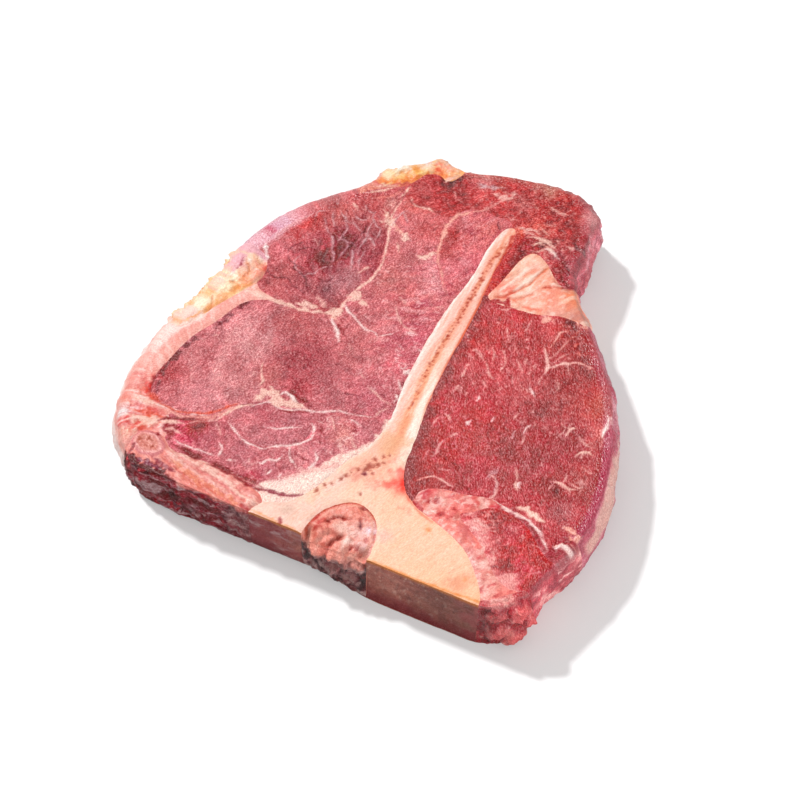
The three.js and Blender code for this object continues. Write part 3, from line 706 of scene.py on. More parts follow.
blood 0.55 -0.2 | 1 2.2 1.6 | -84.8,-50.2 -85.3,-55 -85.3,-59.4 -84.4,-63.7
ember 0.5 0 | 1 2.6 1.4 | -87.6,-63.7 -82.6,-65.4 -78.6,-66.7
cream 0.7 0.1 | 1 2.4 1.4 | -88.7,-68.7 -83.6,-68.7 -79.2,-67.7
cream 0.7 0.1 | 1.4 3.4 2 | -88.4,-76.9 -81.8,-76.2 -76.1,-74.2
ember 0.4 -0.2 | 0.6 1.2 0.8 | -88.6,-74.3 -83.8,-73.8 -79.3,-72.5 -73.6,-71.9
blood 0.8 -0.4 | 0.6 1.4 0.8 | -79.1,-94.1 -79.1,-90.7 -79,-87.4
blush 0.6 0.1 | 0.5 0.8 0.4 | -64.1,-71.1 -61.5,-68.6 -57.7,-66.8 -54.6,-64.9
blush 0.5 0.1 | 0.5 0.7 0.4 | -54.1,-65.9 -51.6,-68 -49.8,-70.5
blood 0.6 -0.2 | 0.4 0.9 0.4 | -20.8,-65.8 -17,-66.1 -13.5,-66.1
cream 0.8 0.1 | 1.6 3.6 2.2 | -36.9,53.1 -32.5,49.2 -29.7,45.5
cream 0.8 0.15 | 1.4 3 1.6 | -26.2,44.4 -23.4,44.1 -21,43.9
lilac 0.7 0.1 | 0.4 0.7 0.4 | -30.2,47.1 -29.6,51.9 -28.7,55.3 -26.8,57.3
lilac 0.7 0.1 | 0.4 0.7 0.4 | -28.7,55.3 -26.8,53.2 -24.8,51.4
cream 0.85 0.2 | 2 4.2 2 | -36.4,-2.3 -33.2,-1.8 -30,-1.7
peach 0.6 0.1 | 0.6 1.4 0.6 | -34.6,-3.7 -32.2,-3.4 -29.5,-4.6
white 0.85 0.25 | 1.2 1.4 0.9 | -33.3,-4.8 -30.5,-7 -28.3,-9.4 -26.2,-12.9
cream 0.75 0.1 | 1.4 4.2 2.6 1.2 | -31.6,5.9 -28.9,9 -25.6,8.4 -22.4,7.4
cream 0.8 0.1 | 0.6 1.2 0.6 | -32.7,62 -32,64.6 -31.3,67.7
lilac 0.75 0.2 | 0.4 0.8 0.4 | -39.1,50.3 -38.8,47.3 -36.1,44.4 -33.8,43.4 -33,40.2 -33.5,37.5
lilac 0.75 0.2 | 0.4 0.8 0.4 | -52.8,44.8 -49.7,42.8 -47,41.3 -43.4,40.9
lilac 0.7 0.2 | 0.4 0.7 0.4 | -45.2,52.1 -42.1,49.9 -39.1,49.2
lilac 0.7 0.2 | 0.4 0.7 0.4 | -47.9,47.2 -45.2,44.8 -42,44.4 -40.4,46.1
lilac 0.7 0.2 | 0.4 0.7 0.4 | -60.3,37.9 -60.6,40.5 -58.5,42.4
lilac 0.6 0.15 | 0.4 0.6 0.4 | -52.5,9.2 -56.7,11.7 -58.7,14.3 -58.1,18.2
gape 0.6 -0.3 | 0.3 0.6 0.3 | -62.6,16.1 -59.9,13.8 -55.8,13
gape 0.6 -0.3 | 0.3 0.6 0.3 | -46.6,11 -43.4,10.7 -40.4,13.8
gape 0.6 -0.3 | 0.3 0.6 0.3 | -44.9,29.6 -43.4,24.9 -43.9,21.1
gape 0.5 -0.3 | 0.3 0.6 0.3 | -67.8,6.7 -62.9,4.4 -57.7,6 -55,3.6
cream 0.8 0.1 | 0.8 2 0.8 | -19.2,75.8 -17.5,78.8 -15.7,81
lilac 0.7 0.1 | 0.8 2.2 1 | -6.3,80.9 -1.1,81.1 5.3,83.8
blush 0.75 0.1 | 1 3 1.4 | 0.9,79.2 4.6,79 8.2,79 10.3,82.8
blush 0.75 0.1 | 0.8 1.8 1.2 0.8 | 16.8,67.3 20.8,68.4 25,69 28.1,67.9
cream 0.8 0.2 | 0.6 1.4 0.8 | 22.9,65.2 26.7,66.1 31.2,65.9 35.2,63.4
cream 0.7 0.2 | 0.5 1.2 0.6 | 26.1,62.8 29.2,64.3 33,63.4 36.4,61.3
blush 0.7 0.2 | 0.5 1.2 0.6 | 20.3,66.3 24.3,67.2 28.8,67
blood 0.8 -0.3 | 1 2.4 1.4 | 41.8,53.9 45.4,51 48.3,48.9
blush 0.6 0.1 | 0.5 1.2 0.5 | 39.2,67 42.6,67.5 47.5,68.1
blush 0.6 0.1 | 0.5 1.6 0.5 | 25.3,82.4 29.4,81.5 33.8,81.7
blush 0.5 0.1 | 0.5 1.2 0.5 | -8.3,69.9 -11.8,71 -13.8,73.8
blush 0.6 0.1 | 0.5 1 0.5 | -0.5,18.8 2.6,18.5 5.4,20.6
blush 0.8 0.1 | 0.4 0.9 0.4 | 39.5,22.6 40.1,26.3 40.1,28.9
blush 0.7 0.1 | 0.4 0.7 0.4 | 32.2,21.6 33.9,18.7 35.4,16.4
blush 0.7 0.1 | 0.4 0.7 0.4 | 61.1,15.5 62.4,12.9 63,10.8
blush 0.6 0.05 | 0.3 0.6 0.3 | 53.4,13.8 55.2,18.8 56.4,23.4 57.6,27.6
blush 0.6 0.05 | 0.3 0.6 0.3 | 55.3,12.7 57.4,17.3 59.9,20.6
blush 0.6 0.05 | 0.3 0.6 0.3 | 30.5,11.1 32.5,7.9 33.5,4.8
blush 0.6 0.05 | 0.3 0.6 0.3 | 35.3,11.7 36.7,8.9 38.6,5.2 38.5,3.2
blush 0.7 0.05 | 0.4 0.8 0.4 | 47.6,-1.5 50.5,-2.1 51.7,-3.1
blush 0.6 0.05 | 0.4 1 0.4 | 23.9,5.6 25.3,6.7 27.4,5.4 30.1,3.2
cream 0.5 0.1 | 2 3 2 | 26.6,-25.4 27.9,-26.1 28.9,-26.5
white 0.7 0.1 | 0.5 1.4 0.5 | 34.7,-25.4 35.7,-26 36.9,-26.3
cream 0.7 0.1 | 0.4 0.9 0.4 | 69.2,-10.5 71.4,-11.7 75.5,-10.2
blush 0.6 0.05 | 0.3 0.7 0.3 | 71.4,-11.7 71.4,-14.4 70.2,-16.4
blush 0.6 0.05 | 0.3 0.6 0.3 | 72.4,-11.4 73.6,-8.4
cream 0.5 0.1 | 0.4 0.8 0.4 | 80.7,-20.2 83.4,-18.4 85.8,-18.8
blush 0.5 0.05 | 0.3 0.6 0.3 | 83.4,-18.4 84.6,-16
blush 0.5 0.05 | 0.3 0.6 0.3 | 82,-19.2 82.4,-22
cream 0.7 0.1 | 0.5 1 0.8 0.4 | 75.5,-35.4 79.2,-35.4 82.8,-35.8 86.1,-34.9
blush 0.6 0.05 | 0.3 0.7 0.3 | 79.2,-35.4 80.2,-32.6 79.4,-30.6
blush 0.6 0.05 | 0.3 0.7 0.3 | 82.8,-35.8 84.6,-38.2
cream 0.7 0.1 | 0.4 1 0.6 | 60.6,-36.1 63.1,-40.2 63.4,-43.5 65.7,-44.6
blush 0.5 0.2 | 0.6 1 0.8 | 52.3,-42.7 55,-43.5 57.5,-46.7 57.8,-50.8 55.4,-53.4
blush 0.8 0.1 | 0.5 1 0.5 | 27.8,-57.1 30.8,-53.9 33.9,-52.4 38.9,-53.1 42,-53.6
white 0.95 0.4 | 0.6 1.2 2 1.2 | 83.6,1.1 85.3,-0.8 86.1,-3.6 85.8,-6.5 86,-9.4
blush 0.6 0.05 | 0.4 0.8 0.4 | 40.6,32.8 42.9,33 45.5,32.3
peach 0.9 0.1 | 2.4 3.4 1.6 | 43.7,31 46.8,31.2 48.6,32.8
blush 0.6 0.05 | 0.4 0.8 0.4 | 26.1,28.5 28.9,29.2 30.9,31.2
blush 0.6 0.05 | 0.3 0.6 0.3 | 59.4,6.6 61.6,4.9 62.2,1.6
blush 0.6 0.05 | 0.3 0.8 0.3 | 77.6,-13.6 81.4,-15.4 85.8,-15.1
blush 0.6 0.05 | 0.3 0.6 0.3 | 83.7,-24.7 86.5,-26.1 89.3,-25.6
blush 0.6 0.05 | 0.3 0.6 0.3 | 58,-20.8 58.6,-24 58.6,-25.8
blush 0.6 0.05 | 0.3 0.7 0.3 | 51.6,-16.6 51.5,-14.9 52.4,-13.4
blush 0.6 0.05 | 0.3 0.7 0.3 | 23.6,-32.9 23.6,-29.4 24.9,-27
blush 0.6 0.05 | 0.3 0.7 0.3 | 26.3,-47.4 26.6,-44.7 26.3,-42.2
"""
# Seams: the inner side of the cap of fat, and both sides of the bone.
CAP_INNER = [(-83.3, -65.8), (-86.2, -53.5), (-85.2, -48.5), (-82.4, -39), (-80.6, -34.6),
             (-76.2, -29), (-74.8, -24.8), (-71.6, -16), (-68.4, -9.8), (-63.3, -6.4)]
ARM_LEFT = [(13.5, 65.5), (10.7, 55), (10, 38), (7.3, 20), (6, 0), (6, -20), (7.6, -36), (5.5, -49),
            (-0.5, -61), (-6.5, -76), (-14, -86), (-22.5, -90)]
ARM_RIGHT = [(18.4, 62), (17.2, 47), (18, 21), (17.6, -4), (18, -24), (20, -40), (21, -52),
             (25, -61.5), (32, -67), (43, -70.5), (56, -76), (64, -83.5), (70.5, -93)]


def marks(c):
    """Draws MARKS; the wide ones are the more ragged."""
    for k, (tone, strength, rise, widths, points) in enumerate(read_rows(MARKS)):
        code, fat, thick = TONES[tone]
        widest = max(widths)
        raggedness = 0.24 if len(points) < 4 else 0.08
        c.line(points, [0.25 + thick * w ** 1.15 for w in widths], code, strength ** 0.5,
               soft=0.34 + 0.1 * widest, ragged=0.35 + raggedness * widest, fat=fat, rise=rise,
               seed=k % 50)
        if tone == "white":
            c.gloss += 0.2 * c.last


def lean_face(c, code, spots, angle, seed, grain=1.0, depth=0.05, relief=0.06, share=0.08,
              stretch=1.5, web=0.35):
    """Cut muscle: patches, bundles of fibre, and a faint web of fat."""
    c.base(code, gloss=0.62)
    c.spots(spots, 0.9)
    c.mottle(11, 0.035, seed + 3)
    c.mottle(3.6, 0.045, seed + 6)
    c.grain(grain, depth, relief, angle, stretch, seed, share=share)
    c.grain(grain * 3.2, depth * 0.4, relief * 1.4, angle + 30, 1.4, seed + 1, share=share * 0.4)
    u, v = turned(c.x, c.y, angle, 1.7)
    crest = ridges(u, v, 3.4, seed + 7)
    patch = smooth(-0.1, 0.9, noise(c.x, c.y, 7, seed + 8, 2))
    c.blend(web * patch * smooth(0.72, 0.95, crest), "#eeb0aa", 0.5)
    # small dark pits: the darkening is painted shade in them
    pits = noise(u, v, 1.3, seed + 9, 2)
    c.blend(0.3 * smooth(0.85, 1.35, pits), "#7e2c35")


def paint_strip_loin(c):
    lean_face(c, "#d97c81", """
        -80 -53 7 #bc4b4e, -56 -24 12 #ffbcbc, -58 -46 12 #e39a9b, -66 -58 7 #f1989e, -8 17 12 #e57a7b,
        -3 34 9 #ffaaae, 2 2 8 #d76c79, -4 -32 8 #d97480, -25 62 8 #f47e76, -22 42 9 #e18486,
        -37 -27 13 #b24c54, -18 -36 9 #cb747a, -19 -8 10 #d67b7c, -46 -10 8 #cc686a, 0 -14 6 #f67c86,
        -44 -38 5 #d47674, -14 52 7 #e26d6c, -20 24 8 #d27b78, -20 70 7 #780707, -28 34 4 #e78080,
        -31 -38 4 #c24c54, -76 -60 4 #d6777c
    """, 60, 4)
    # silky folds beside the bone: painted highlight on their crests, painted shade in their troughs
    wave = noise(*turned(c.x, c.y, 24, 3.2), 2.0, 31, 2)
    silk = np.exp(-((c.x + 3) ** 2 / 150 + (c.y - 12) ** 2 / 1000))
    c.waves(wave, ("#f6b6ba", 0.55, 0.1, 1.1), ("#b2455a", 0.5, 0.1, 1.1), 0.22, silk)
    # long low folds over the middle: painted highlight on their crests, painted shade in their troughs
    swirl = noise(*turned(c.x, c.y, 105, 3.0), 4.2, 33, 2)
    broad = np.exp(-((c.x + 62) ** 2 / 420 + (c.y + 30) ** 2 / 700))
    c.waves(swirl, ("#f0a9a6", 0.45, 0.1, 1.2), ("#b9585c", 0.4, 0.2, 1.2), 0.14, broad)
    # the shaded cleft along the cap of fat
    c.line([(a + 2.0, b + 0.6) for a, b in CAP_INNER], [1.4, 2.6, 2.2, 1.8, 1.8, 2.0], "#742d38", 0.75,
           soft=0.9, patchy=0.35, fat=0, rise=-0.35, ragged=0.9)
    c.flecks("""
        -40 -8 26 24 2.4 0.4 40 50 #eeb0a8 3 0.5
        -10 20 20 40 3.2 0.45 25 30 #f8c2bf 4 0.7
        -62 -44 18 26 1.8 0.5 60 60 #f7beb2 5 0.6
        2 -4 9 22 4 0.5 10 25 #fbd0cd 6 0.7
        -4 -20 9 22 3.6 0.5 110 25 #f7bcbc 7 0.6
        -22 52 14 24 2.6 0.4 70 50 #eda9a2 8 0.6
    """)


def paint_sirloin_cap(c):
    lean_face(c, "#cf696c", """
        -43 31 10 #82283b, -38 13 7 #cc868c, -53 12 8 #c5565e, -66 18 7 #eb848c, -41 55 8 #e06666,
        -63 36 8 #e23835, -60 6 7 #c06667, -50 4 6 #c86c72, -36 40 6 #ae5a5e, -52 44 7 #e47873,
        -55 26 7 #ea7078, -47 22 5 #7e0718, -41 7 4 #9d6066, -35 57 3 #ffb6ac
    """, 110, 8, relief=0.09, share=0.12)
    # folds over its middle: painted sheen on their ridges and painted shade in the dark between them
    u, v = turned(c.x, c.y, 114, 2.0)
    fold = ridges(u, v, 4.2, 21)
    zone = np.exp(-(((c.x + 46) / 14) ** 2 + ((c.y - 30) / 24) ** 2) ** 1.5)
    c.blend(zone * 0.4 * smooth(0.6, 1, fold), "#cf9a9d", 0.3)
    c.blend(zone * 0.4 * smooth(0.7, 0.1, fold) * smooth(-0.2, 0.8, noise(u, v, 5, 25)), "#642c35")
    c.rise += zone * (0.5 * smooth(0.3, 1, fold) - 0.2)
    # skin along the outer edge
    skin = smooth(4.6, 1.0, c.edge + 0.8 * noise(c.x, c.y, 7, 27)) * smooth(2, 14, c.y)
    c.blend(0.9 * skin * smooth(-56, -70, c.x), "#f6bcc8", 0.6)
    c.gloss += 0.35 * skin
    # a soft grey-pink patch of painted sheen
    c.spot(-33, 17, 4.5, "#ae7c80", 0.45, ragged=0.9, fat=0.2)
    # the two near-white lines near the rump fat's knob are painted glints on the skin
    c.lines("""
        #c8405c 0.85 0.1 | 0.9 | -73.7,21.7 -70.1,31.5 -66.2,39.5 -60,46 -52,53
        #fbd6da 0.85 0.1 | 1 | -76,22 -72.5,31 -67.5,40 -60,48.5
        #fff3ef 0.85 0.1 | 1.8 | -73.2,17.4 -71.4,14 -69.8,10.9
        #fff6f2 0.85 0.1 | 1.2 | -75.4,14.6 -78,13.4
        #e9b3c6 0.85 0.1 | 0.9 | -72.6,25.5 -70.5,29 -68.5,31.5
        #f0a4a4 0.85 0.1 | 0.7 | -71,23 -69.4,27 -66,33 -62,39
        #f0957e 0.85 0.1 | 2.2 | -50,56.5 -44,62.4 -39.5,68
        #f9cdb8 0.85 0.1 | 1.2 | -46,57.8 -40,62.5 -36.5,67.5
        #ee8a7e 0.85 0.1 | 0.9 | -43,56.5 -37,60 -33.5,65
    """, soft=0.5, fat=0.6)
    c.flecks("""
        -62 22 14 26 2 0.45 110 50 #e2a0a0 8 0.5
        -40 52 10 22 2.2 0.45 110 50 #e8a8a0 9 0.6
    """)


def paint_tenderloin(c):
    lean_face(c, "#c34c51", """
        22 12 6 #b80000, 34 22 9 #c02632, 29 -42 9 #b80024, 21 -22 5 #d63652, 48 30 9 #d25b5c,
        84 -32 8 #c1605c, 46 -4 10 #d15e60, 64 0 10 #ad5453, 42 -26 10 #bf2c3e, 66 -30 10 #a6444c,
        80 4 8 #cc5c51, 62 28 8 #9c1408, 48 -45 7 #c64e56, 84 -46 6 #b6696a, 88 -10 7 #ea8a7f,
        34 2 9 #d04f54, 70 14 7 #a43034, 76 -16 8 #a04148, 60 -8 5 #8a3439, 54 -28 6 #ab313c,
        78 -38 5 #941223, 30 -55 4 #9e0000, 24 -52 4 #9a0000, 55 34 3 #780000
    """, -62, 12, stretch=1.7, web=0.45, depth=0.035, share=0.05)
    # fibres with painted highlight on their lifted crests and painted shade in the troughs
    fibre = noise(*turned(c.x, c.y, -66, 6), 1.5, 41, 2)
    zone = np.exp(-(((c.x - 35) / 20) ** 2 + ((c.y - 10) / 24) ** 2))
    c.waves(fibre, ("#ee908c", 0.4, 0.3, 1.2), ("#9c303a", 0.35, 0.3, 1.2), 0.15, zone)
    d, _ = to_line(c.x, c.y, np.array(ARM_RIGHT))
    c.blend(0.8 * smooth(5.0, 0.8, d + 1.3 * noise(c.x, c.y, 3, 17)), "#951c2a")
    c.rise -= 0.4 * smooth(1.6, 0, d)
    c.flecks("""
        32 4 20 60 2.4 0.5 -58 30 #f5b6ae 9 0.8
        50 4 22 60 2.2 0.45 -50 45 #efa69d 10 0.7
        68 -20 24 110 1.8 0.42 0 90 #e2a09a 11 0.6
        32 -32 14 50 2.2 0.45 35 35 #eb9c98 12 0.65
        62 26 14 34 2.4 0.5 60 60 #f0a89c 13 0.65
        60 -44 18 60 1.8 0.45 30 90 #eeb0aa 24 0.65
    """)
    # the dark strip of the right side, under its skin
    rim = smooth(6, 0.8, c.edge + 0.8 * noise(c.x, c.y, 6, 43))
    low = smooth(-8, -20, c.y)
    c.blend(0.8 * rim * low, "#a42a3c", 0.1)
    c.blend(0.5 * smooth(3.4, 0.8, c.edge) * smooth(50, 30, c.y) * (1 - low), "#bb6878", 0.4)
    c.blend(0.8 * smooth(2.8, 1.2, c.edge) * smooth(2, -6, c.y), "#b84c62", 0.3)
    c.spot(92.5, -9, 2.6, "#f8ffff", 0.9, fat=1, rise=0.3)
    c.gloss += 0.3 * rim


def paint_back_muscle(c):
    lean_face(c, "#d6787e", """
        -62 -73 6 #cc2d50, -48 -67 6 #d5747c, -40 -73 5 #bb6c74, -6 -50 5 #ee9c94, -17 -65 5 #f2a0a2,
        -28 -77 4 #d67a84, -60 -69 4 #7b0000, -12 -60 4 #da8088, 0 -46 4 #d68289, -54 -74 4 #ba606a,
        -31 -82 3 #b62a40, -21 -56 3 #e87182
    """, 150, 16, share=0.12)
    # fat beside the lamina
    d, _ = to_line(c.x, c.y, open_curve(ARM_LEFT[6:]))
    reach = np.interp(c.y, [-88, -78, -70, -62, -54, -48], [8, 7.4, 6.4, 4.6, 2.4, 0.8])
    c.blend(smooth(1.0, -0.6, d - reach + 0.7 * noise(c.x, c.y, 2.4, 46, 2)), "#fdd4c6", 1)
    c.lines("#feddd0 0.9 0.2 | 2 7 9 7 3 | 0,-64.5 -8,-70.4 -14,-76.4 -21,-81.8 -27,-84.6",
            fat=1, ragged=0.3, soft=1.4)
    c.lines("#f3aaa2 0.6 0 | 1.6 2.4 1.6 | 1,-62 -5,-65 -12,-70.5 -20,-77", fat=0.8, soft=1.2)
    c.lines("#8f2a3a 0.8 -0.4 | 0.6 1.5 1 0.4 | -25.5,-85 -20,-84 -14.5,-83.2 -9,-80",
            fat=0, ragged=0.4, soft=0.5)
    c.flecks("""
        -8 -52 10 44 2.8 0.5 40 45 #f9cac4 14 0.75
        -26 -72 12 44 2.2 0.45 120 45 #f3b8b2 15 0.65
        -56 -73 12 34 2.4 0.45 150 40 #eda09c 16 0.6
    """)


def paint_oval_muscle(c):
    lean_face(c, "#ce797f", """
        -38 -55 5 #be5a64, -28 -60 5 #d37a82, -43 -61 5 #e28086, -27 -52 4 #ae646b, -35 -50 3 #dc8c90
    """, 20, 20, web=0.15)
    c.flecks("""
        -34 -58 12 26 1.8 0.4 30 40 #eeb8b6 17 0.6
    """)


def paint_arm_muscle(c):
    lean_face(c, "#e3797c", """
        0 54 7 #ec8284, 2 38 6 #f2868e, 8 62 5 #e47670, 9 44 4 #f1808b, -6 52 4 #a22320, -5 44 3 #cc5c59
    """, 60, 24, relief=0.07)
    # rippled fibres: painted highlight on their lifted crests, painted shade in the troughs
    wave = noise(*turned(c.x, c.y, 64, 2.4), 1.8, 33, 2)
    c.waves(wave, ("#f3adb2", 0.4, 0.2, 1.2), ("#b0475a", 0.4, 0.2, 1.2), 0.16)
    c.flecks("""
        0 50 14 24 2.2 0.4 60 50 #f2b0ae 18 0.6
    """)


def paint_flank_tail(c):
    lean_face(c, "#cb5252", """
        6 78 6 #cc3d3e, 42 72 7 #9a1a1c, 25 71 5 #ec6c60, 22 58 5 #9e1236, 19 50 5 #ff433f,
        17 41 3 #ff1b16, -16 74 6 #a70d18, -26 68 5 #be5757, 30 84 7 #a12824, 22 90 4 #bc806e,
        44 84 4 #ffd3c5, -4 84 4 #de8c8a, 38 62 5 #b25e63, 16 78 4 #9a3f40, -18 80 4 #270000,
        14 79 3 #cc726e, 3 83 2 #de6a5a, 40 56 3 #9a1d2a, 30 65 3 #6a0000, 19 66 2.5 #ff725a
    """, 30, 28, grain=1.2, depth=0.08, relief=0.12, share=0.2, web=0.6)
    d, _ = to_line(c.x, c.y, np.array(ARM_RIGHT))
    c.spot(23, 51, 4.5, "#91072e", 0.8)
    c.spot(21.5, 44, 3, "#af123a", 0.8)
    c.blend(0.8 * smooth(4.4, 1.0, d + 0.8 * noise(c.x, c.y, 2, 37)) * smooth(26, 34, c.y), "#cf5040")
    c.lines("#a95a62 0.4 0 | 1.2 | -13,75 -6,80.5 4,83 14,82", fat=0.2, soft=0.8)
    c.lines("#b8422f 0.6 0 | 0.8 2.4 1.2 | 18,66 18.6,58 18,48", fat=0.2, ragged=0.9)
    c.flecks("""
        28 80 22 90 2.6 0.5 10 70 #e69c92 19 0.7
        36 66 12 54 2.6 0.5 -40 40 #eaa89e 20 0.7
        -14 74 14 30 2.2 0.45 20 50 #e0948c 21 0.55
        4 76 12 30 2.2 0.45 40 60 #efb0a8 25 0.6
    """)
    rim = smooth(6, 0.5, c.edge)
    c.blend(0.35 * rim * smooth(30, 44, c.x), "#b86478", 0.3)
    c.blend(0.4 * smooth(3, 0.5, c.edge) * smooth(40, 20, c.x), "#cf8678", 0.5)
    c.gloss += 0.3 * rim


def paint_side_strap(c):
    lean_face(c, "#c62b38", """
        62 -62 4 #7d0000, 80 -60 5 #df1326, 90 -68 4 #d6162c, 78 -74 5 #e84a5f, 66 -72 5 #cc4046,
        70 -62 5 #d26368, 72 -76 4 #980002, 58 -60 3 #ba0002, 86 -64 3 #ff6460
    """, 80, 32, share=0.14, web=0.5)
    # it frays into the fat on its left
    d, _ = to_line(c.x, c.y, open_curve([(53, -61), (60, -69), (66, -79), (78, -84.6)]))
    fray = smooth(7, 0.5, d + 2.6 * noise(*turned(c.x, c.y, 30, 2.5), 2.0, 35, 2))
    c.blend(0.85 * fray, "#f4a8a0", 0.8)
    c.flecks("""
        57 -64 8 40 2.6 0.5 20 60 #f6bcb4 22 0.75
        74 -68 13 70 1.8 0.45 80 60 #f0a49e 23 0.65
    """)
    c.blend(0.5 * smooth(5, 1, c.edge) * smooth(82, 88, c.x), "#a8505a", 0.2)


def fat_face(c, code, seed, size=3.0, relief=0.15, depth=0.03, gloss=0.5):
    """Cut fat: one colour, mottled in large and in small, and lumps of that size in mm."""
    c.base(code, 1.0, gloss)
    c.mottle(10, depth, seed)
    c.mottle(size, depth * 0.8, seed + 2)
    c.rise += relief * noise(c.x, c.y, size, seed + 5, 3)
    c.mottle(0.9, 0.03, seed + 7)


def paint_seam_fat(c):
    fat_face(c, "#e87c72", 40, 2.4, 0.3, 0.05, 0.6)
    c.spots("""
        41 -60 4 #eaa49a, 33 -60 3 #c23642, 50 -56 4 #dc5654, 76 -53 4 #f35e60, 62 -80 5 #e89d96,
        54 -68 3 #d76a6a, 70 -88 5 #ecb4a8, 60 -56 2 #ce0a20, 92 -60 3 #fffcde
    """, 0.85, 0.15)
    n = noise(*turned(c.x, c.y, 55, 1.8), 2.2, 44, 3)
    c.waves(n, ("#d9585a", 0.65, 0.45, 1.3, 0.4), ("#fdd2c6", 0.6, 0.3, 1.2, 1))
    c.lines("#b82c34 0.8 -0.4 | 0.8 2.2 1.6 0.6 | 25,-63 31,-66.4 36,-69 40.5,-71", fat=0.3, soft=0.6)
    c.lines("#e66a60 0.7 -0.3 | 0.9 | 40,-70 44,-71.4 55,-76 62.6,-83.4 67,-91",
            fat=0.8, soft=0.5, taper=0)
    # pits with blood in them
    for x, y, radius in ((38.6, -61.6, 1.3), (42, -66.4, 1.2), (56.4, -52.2, 1.2), (36, -63, 0.7),
                         (46, -62, 0.7)):
        c.spot(x, y, radius, "#b83a3e", 0.9, rise=-0.5, fat=0.2, sharp=1.4)
    # its far end thins to a thread, with a hook of fat between two muscles
    far = smooth(60, 66, c.x + 1.5 * noise(c.x, c.y, 3, 45)) * smooth(-76, -70, c.y)
    c.blend(0.92 * far, "#ac424c", 0.1)
    c.grain(0.9, 0.1, 0.1, 80, 1.4, 46, share=0.2)
    c.lines("""
        #f4b2a4 0.95 0.2 | 1.6 3 1.2 | 67.3,-51.8 73.3,-52.6 79.7,-54.2
        #f8d0c8 0.95 0.3 | 1.4 1.2 1 0.9 0.8 0.6 | 58,-52 64.1,-53.7 68.6,-54.5 76.6,-55.6 81.7,-59.9 \
            85.8,-63.7
        #f2a292 0.95 0.2 | 1.2 2.4 3 3 2.6 1.4 | 87,-53.5 91.5,-53.8 94.5,-55.6 97,-59.5 97.4,-64 96.6,-68
        #fbcabc 0.95 0.3 | 0.8 1.4 1.6 1.6 1.4 0.8 | 84.5,-58.5 87.2,-60.6 89.8,-59.3 92.7,-60.5 94.5,-63 \
            95.3,-66.8
    """, soft=0.5, ragged=0.8, fat=1)
    c.flecks("""
        44 -62 10 40 2.4 0.5 20 70 #fde0d6 26 0.7
        62 -80 9 30 2.4 0.5 60 40 #fde0d6 27 0.7
    """)


def paint_fat_cap(c):
    fat_face(c, "#ed9d94", 50, 3.0, 0.1, 0.02, 0.6)
    d, _ = to_line(c.x, c.y, open_curve(CAP_INNER))
    c.blend(0.85 * smooth(10, 3, d) * smooth(-5, -18, c.y), "#f2a598")
    c.blend(0.6 * smooth(-14, -4, c.y), "#fbc4b6")
    middle = smooth(-58, -46, c.y) * smooth(-12, -22, c.y)
    beyond = smooth(4.4, 6.6, d + 0.7 * noise(c.x, c.y, 6, 55)) * middle
    c.blend(0.85 * beyond, "#fde2da")
    c.lines("#f0a27a 0.7 0.2 | 1.2 1.4 0.9 0.5 | -84,-24 -88.6,-31 -91.6,-36.5 -93.6,-44",
            fat=1, ragged=0.9, soft=0.6)
    # fine fibres across the cap: painted highlight on their lifted crests, painted shade in the troughs
    across = noise(*turned(c.x, c.y, 125, 5.0), 0.9, 51, 2)
    inner = smooth(10, 4, d)
    c.waves(across, ("#fdd9ce", 0.5, 0.1, 1.2), ("#e98d80", 0.5, 0.1, 1.2), 0.06, inner)
    # the bluish-white spot among these is a painted highlight
    c.spots("""
        -86 -63 4 #cc524c, -82 -62 3 #ff0000, -88 -70 4 #e47e6b, -84 -73 3 #f0c2c8, -80 -71 2.5 #eb6668,
        -82 -78 3 #d81300, -85 -84 3 #edbaa2, -92 -76 4 #e4f7fa, -79 -75 3 #e45437, -86 -79 2 #ca0000
    """, 0.85, 0.15, ragged=0.9)
    c.lines("#d8504a 0.5 0 | 1.2 1.8 1.2 | -90,-73 -84,-71 -79,-70.5 -73,-70",
            fat=0.7, ragged=0.9, soft=0.9)
    c.lines("""
        #fdd8cc 0.8 0.3 | 0.8 1.4 1 | -88,-80 -83,-76.5 -78,-76
        #fcd6ca 0.8 0.3 | 1 2 1 | -90,-68 -86,-67.6 -82,-66.4
    """)
    # veins in its lower corner: painted highlight on their lifted crests, painted shade in the troughs
    low = smooth(-56, -68, c.y)
    vein = noise(*turned(c.x, c.y, 20, 1.6), 1.1, 54, 3)
    c.waves(vein, ("#fde0d8", 0.5, 0.3, 1.2), ("#dc6a66", 0.5, 0.3, 1.2, 0.8), 0.2, low)


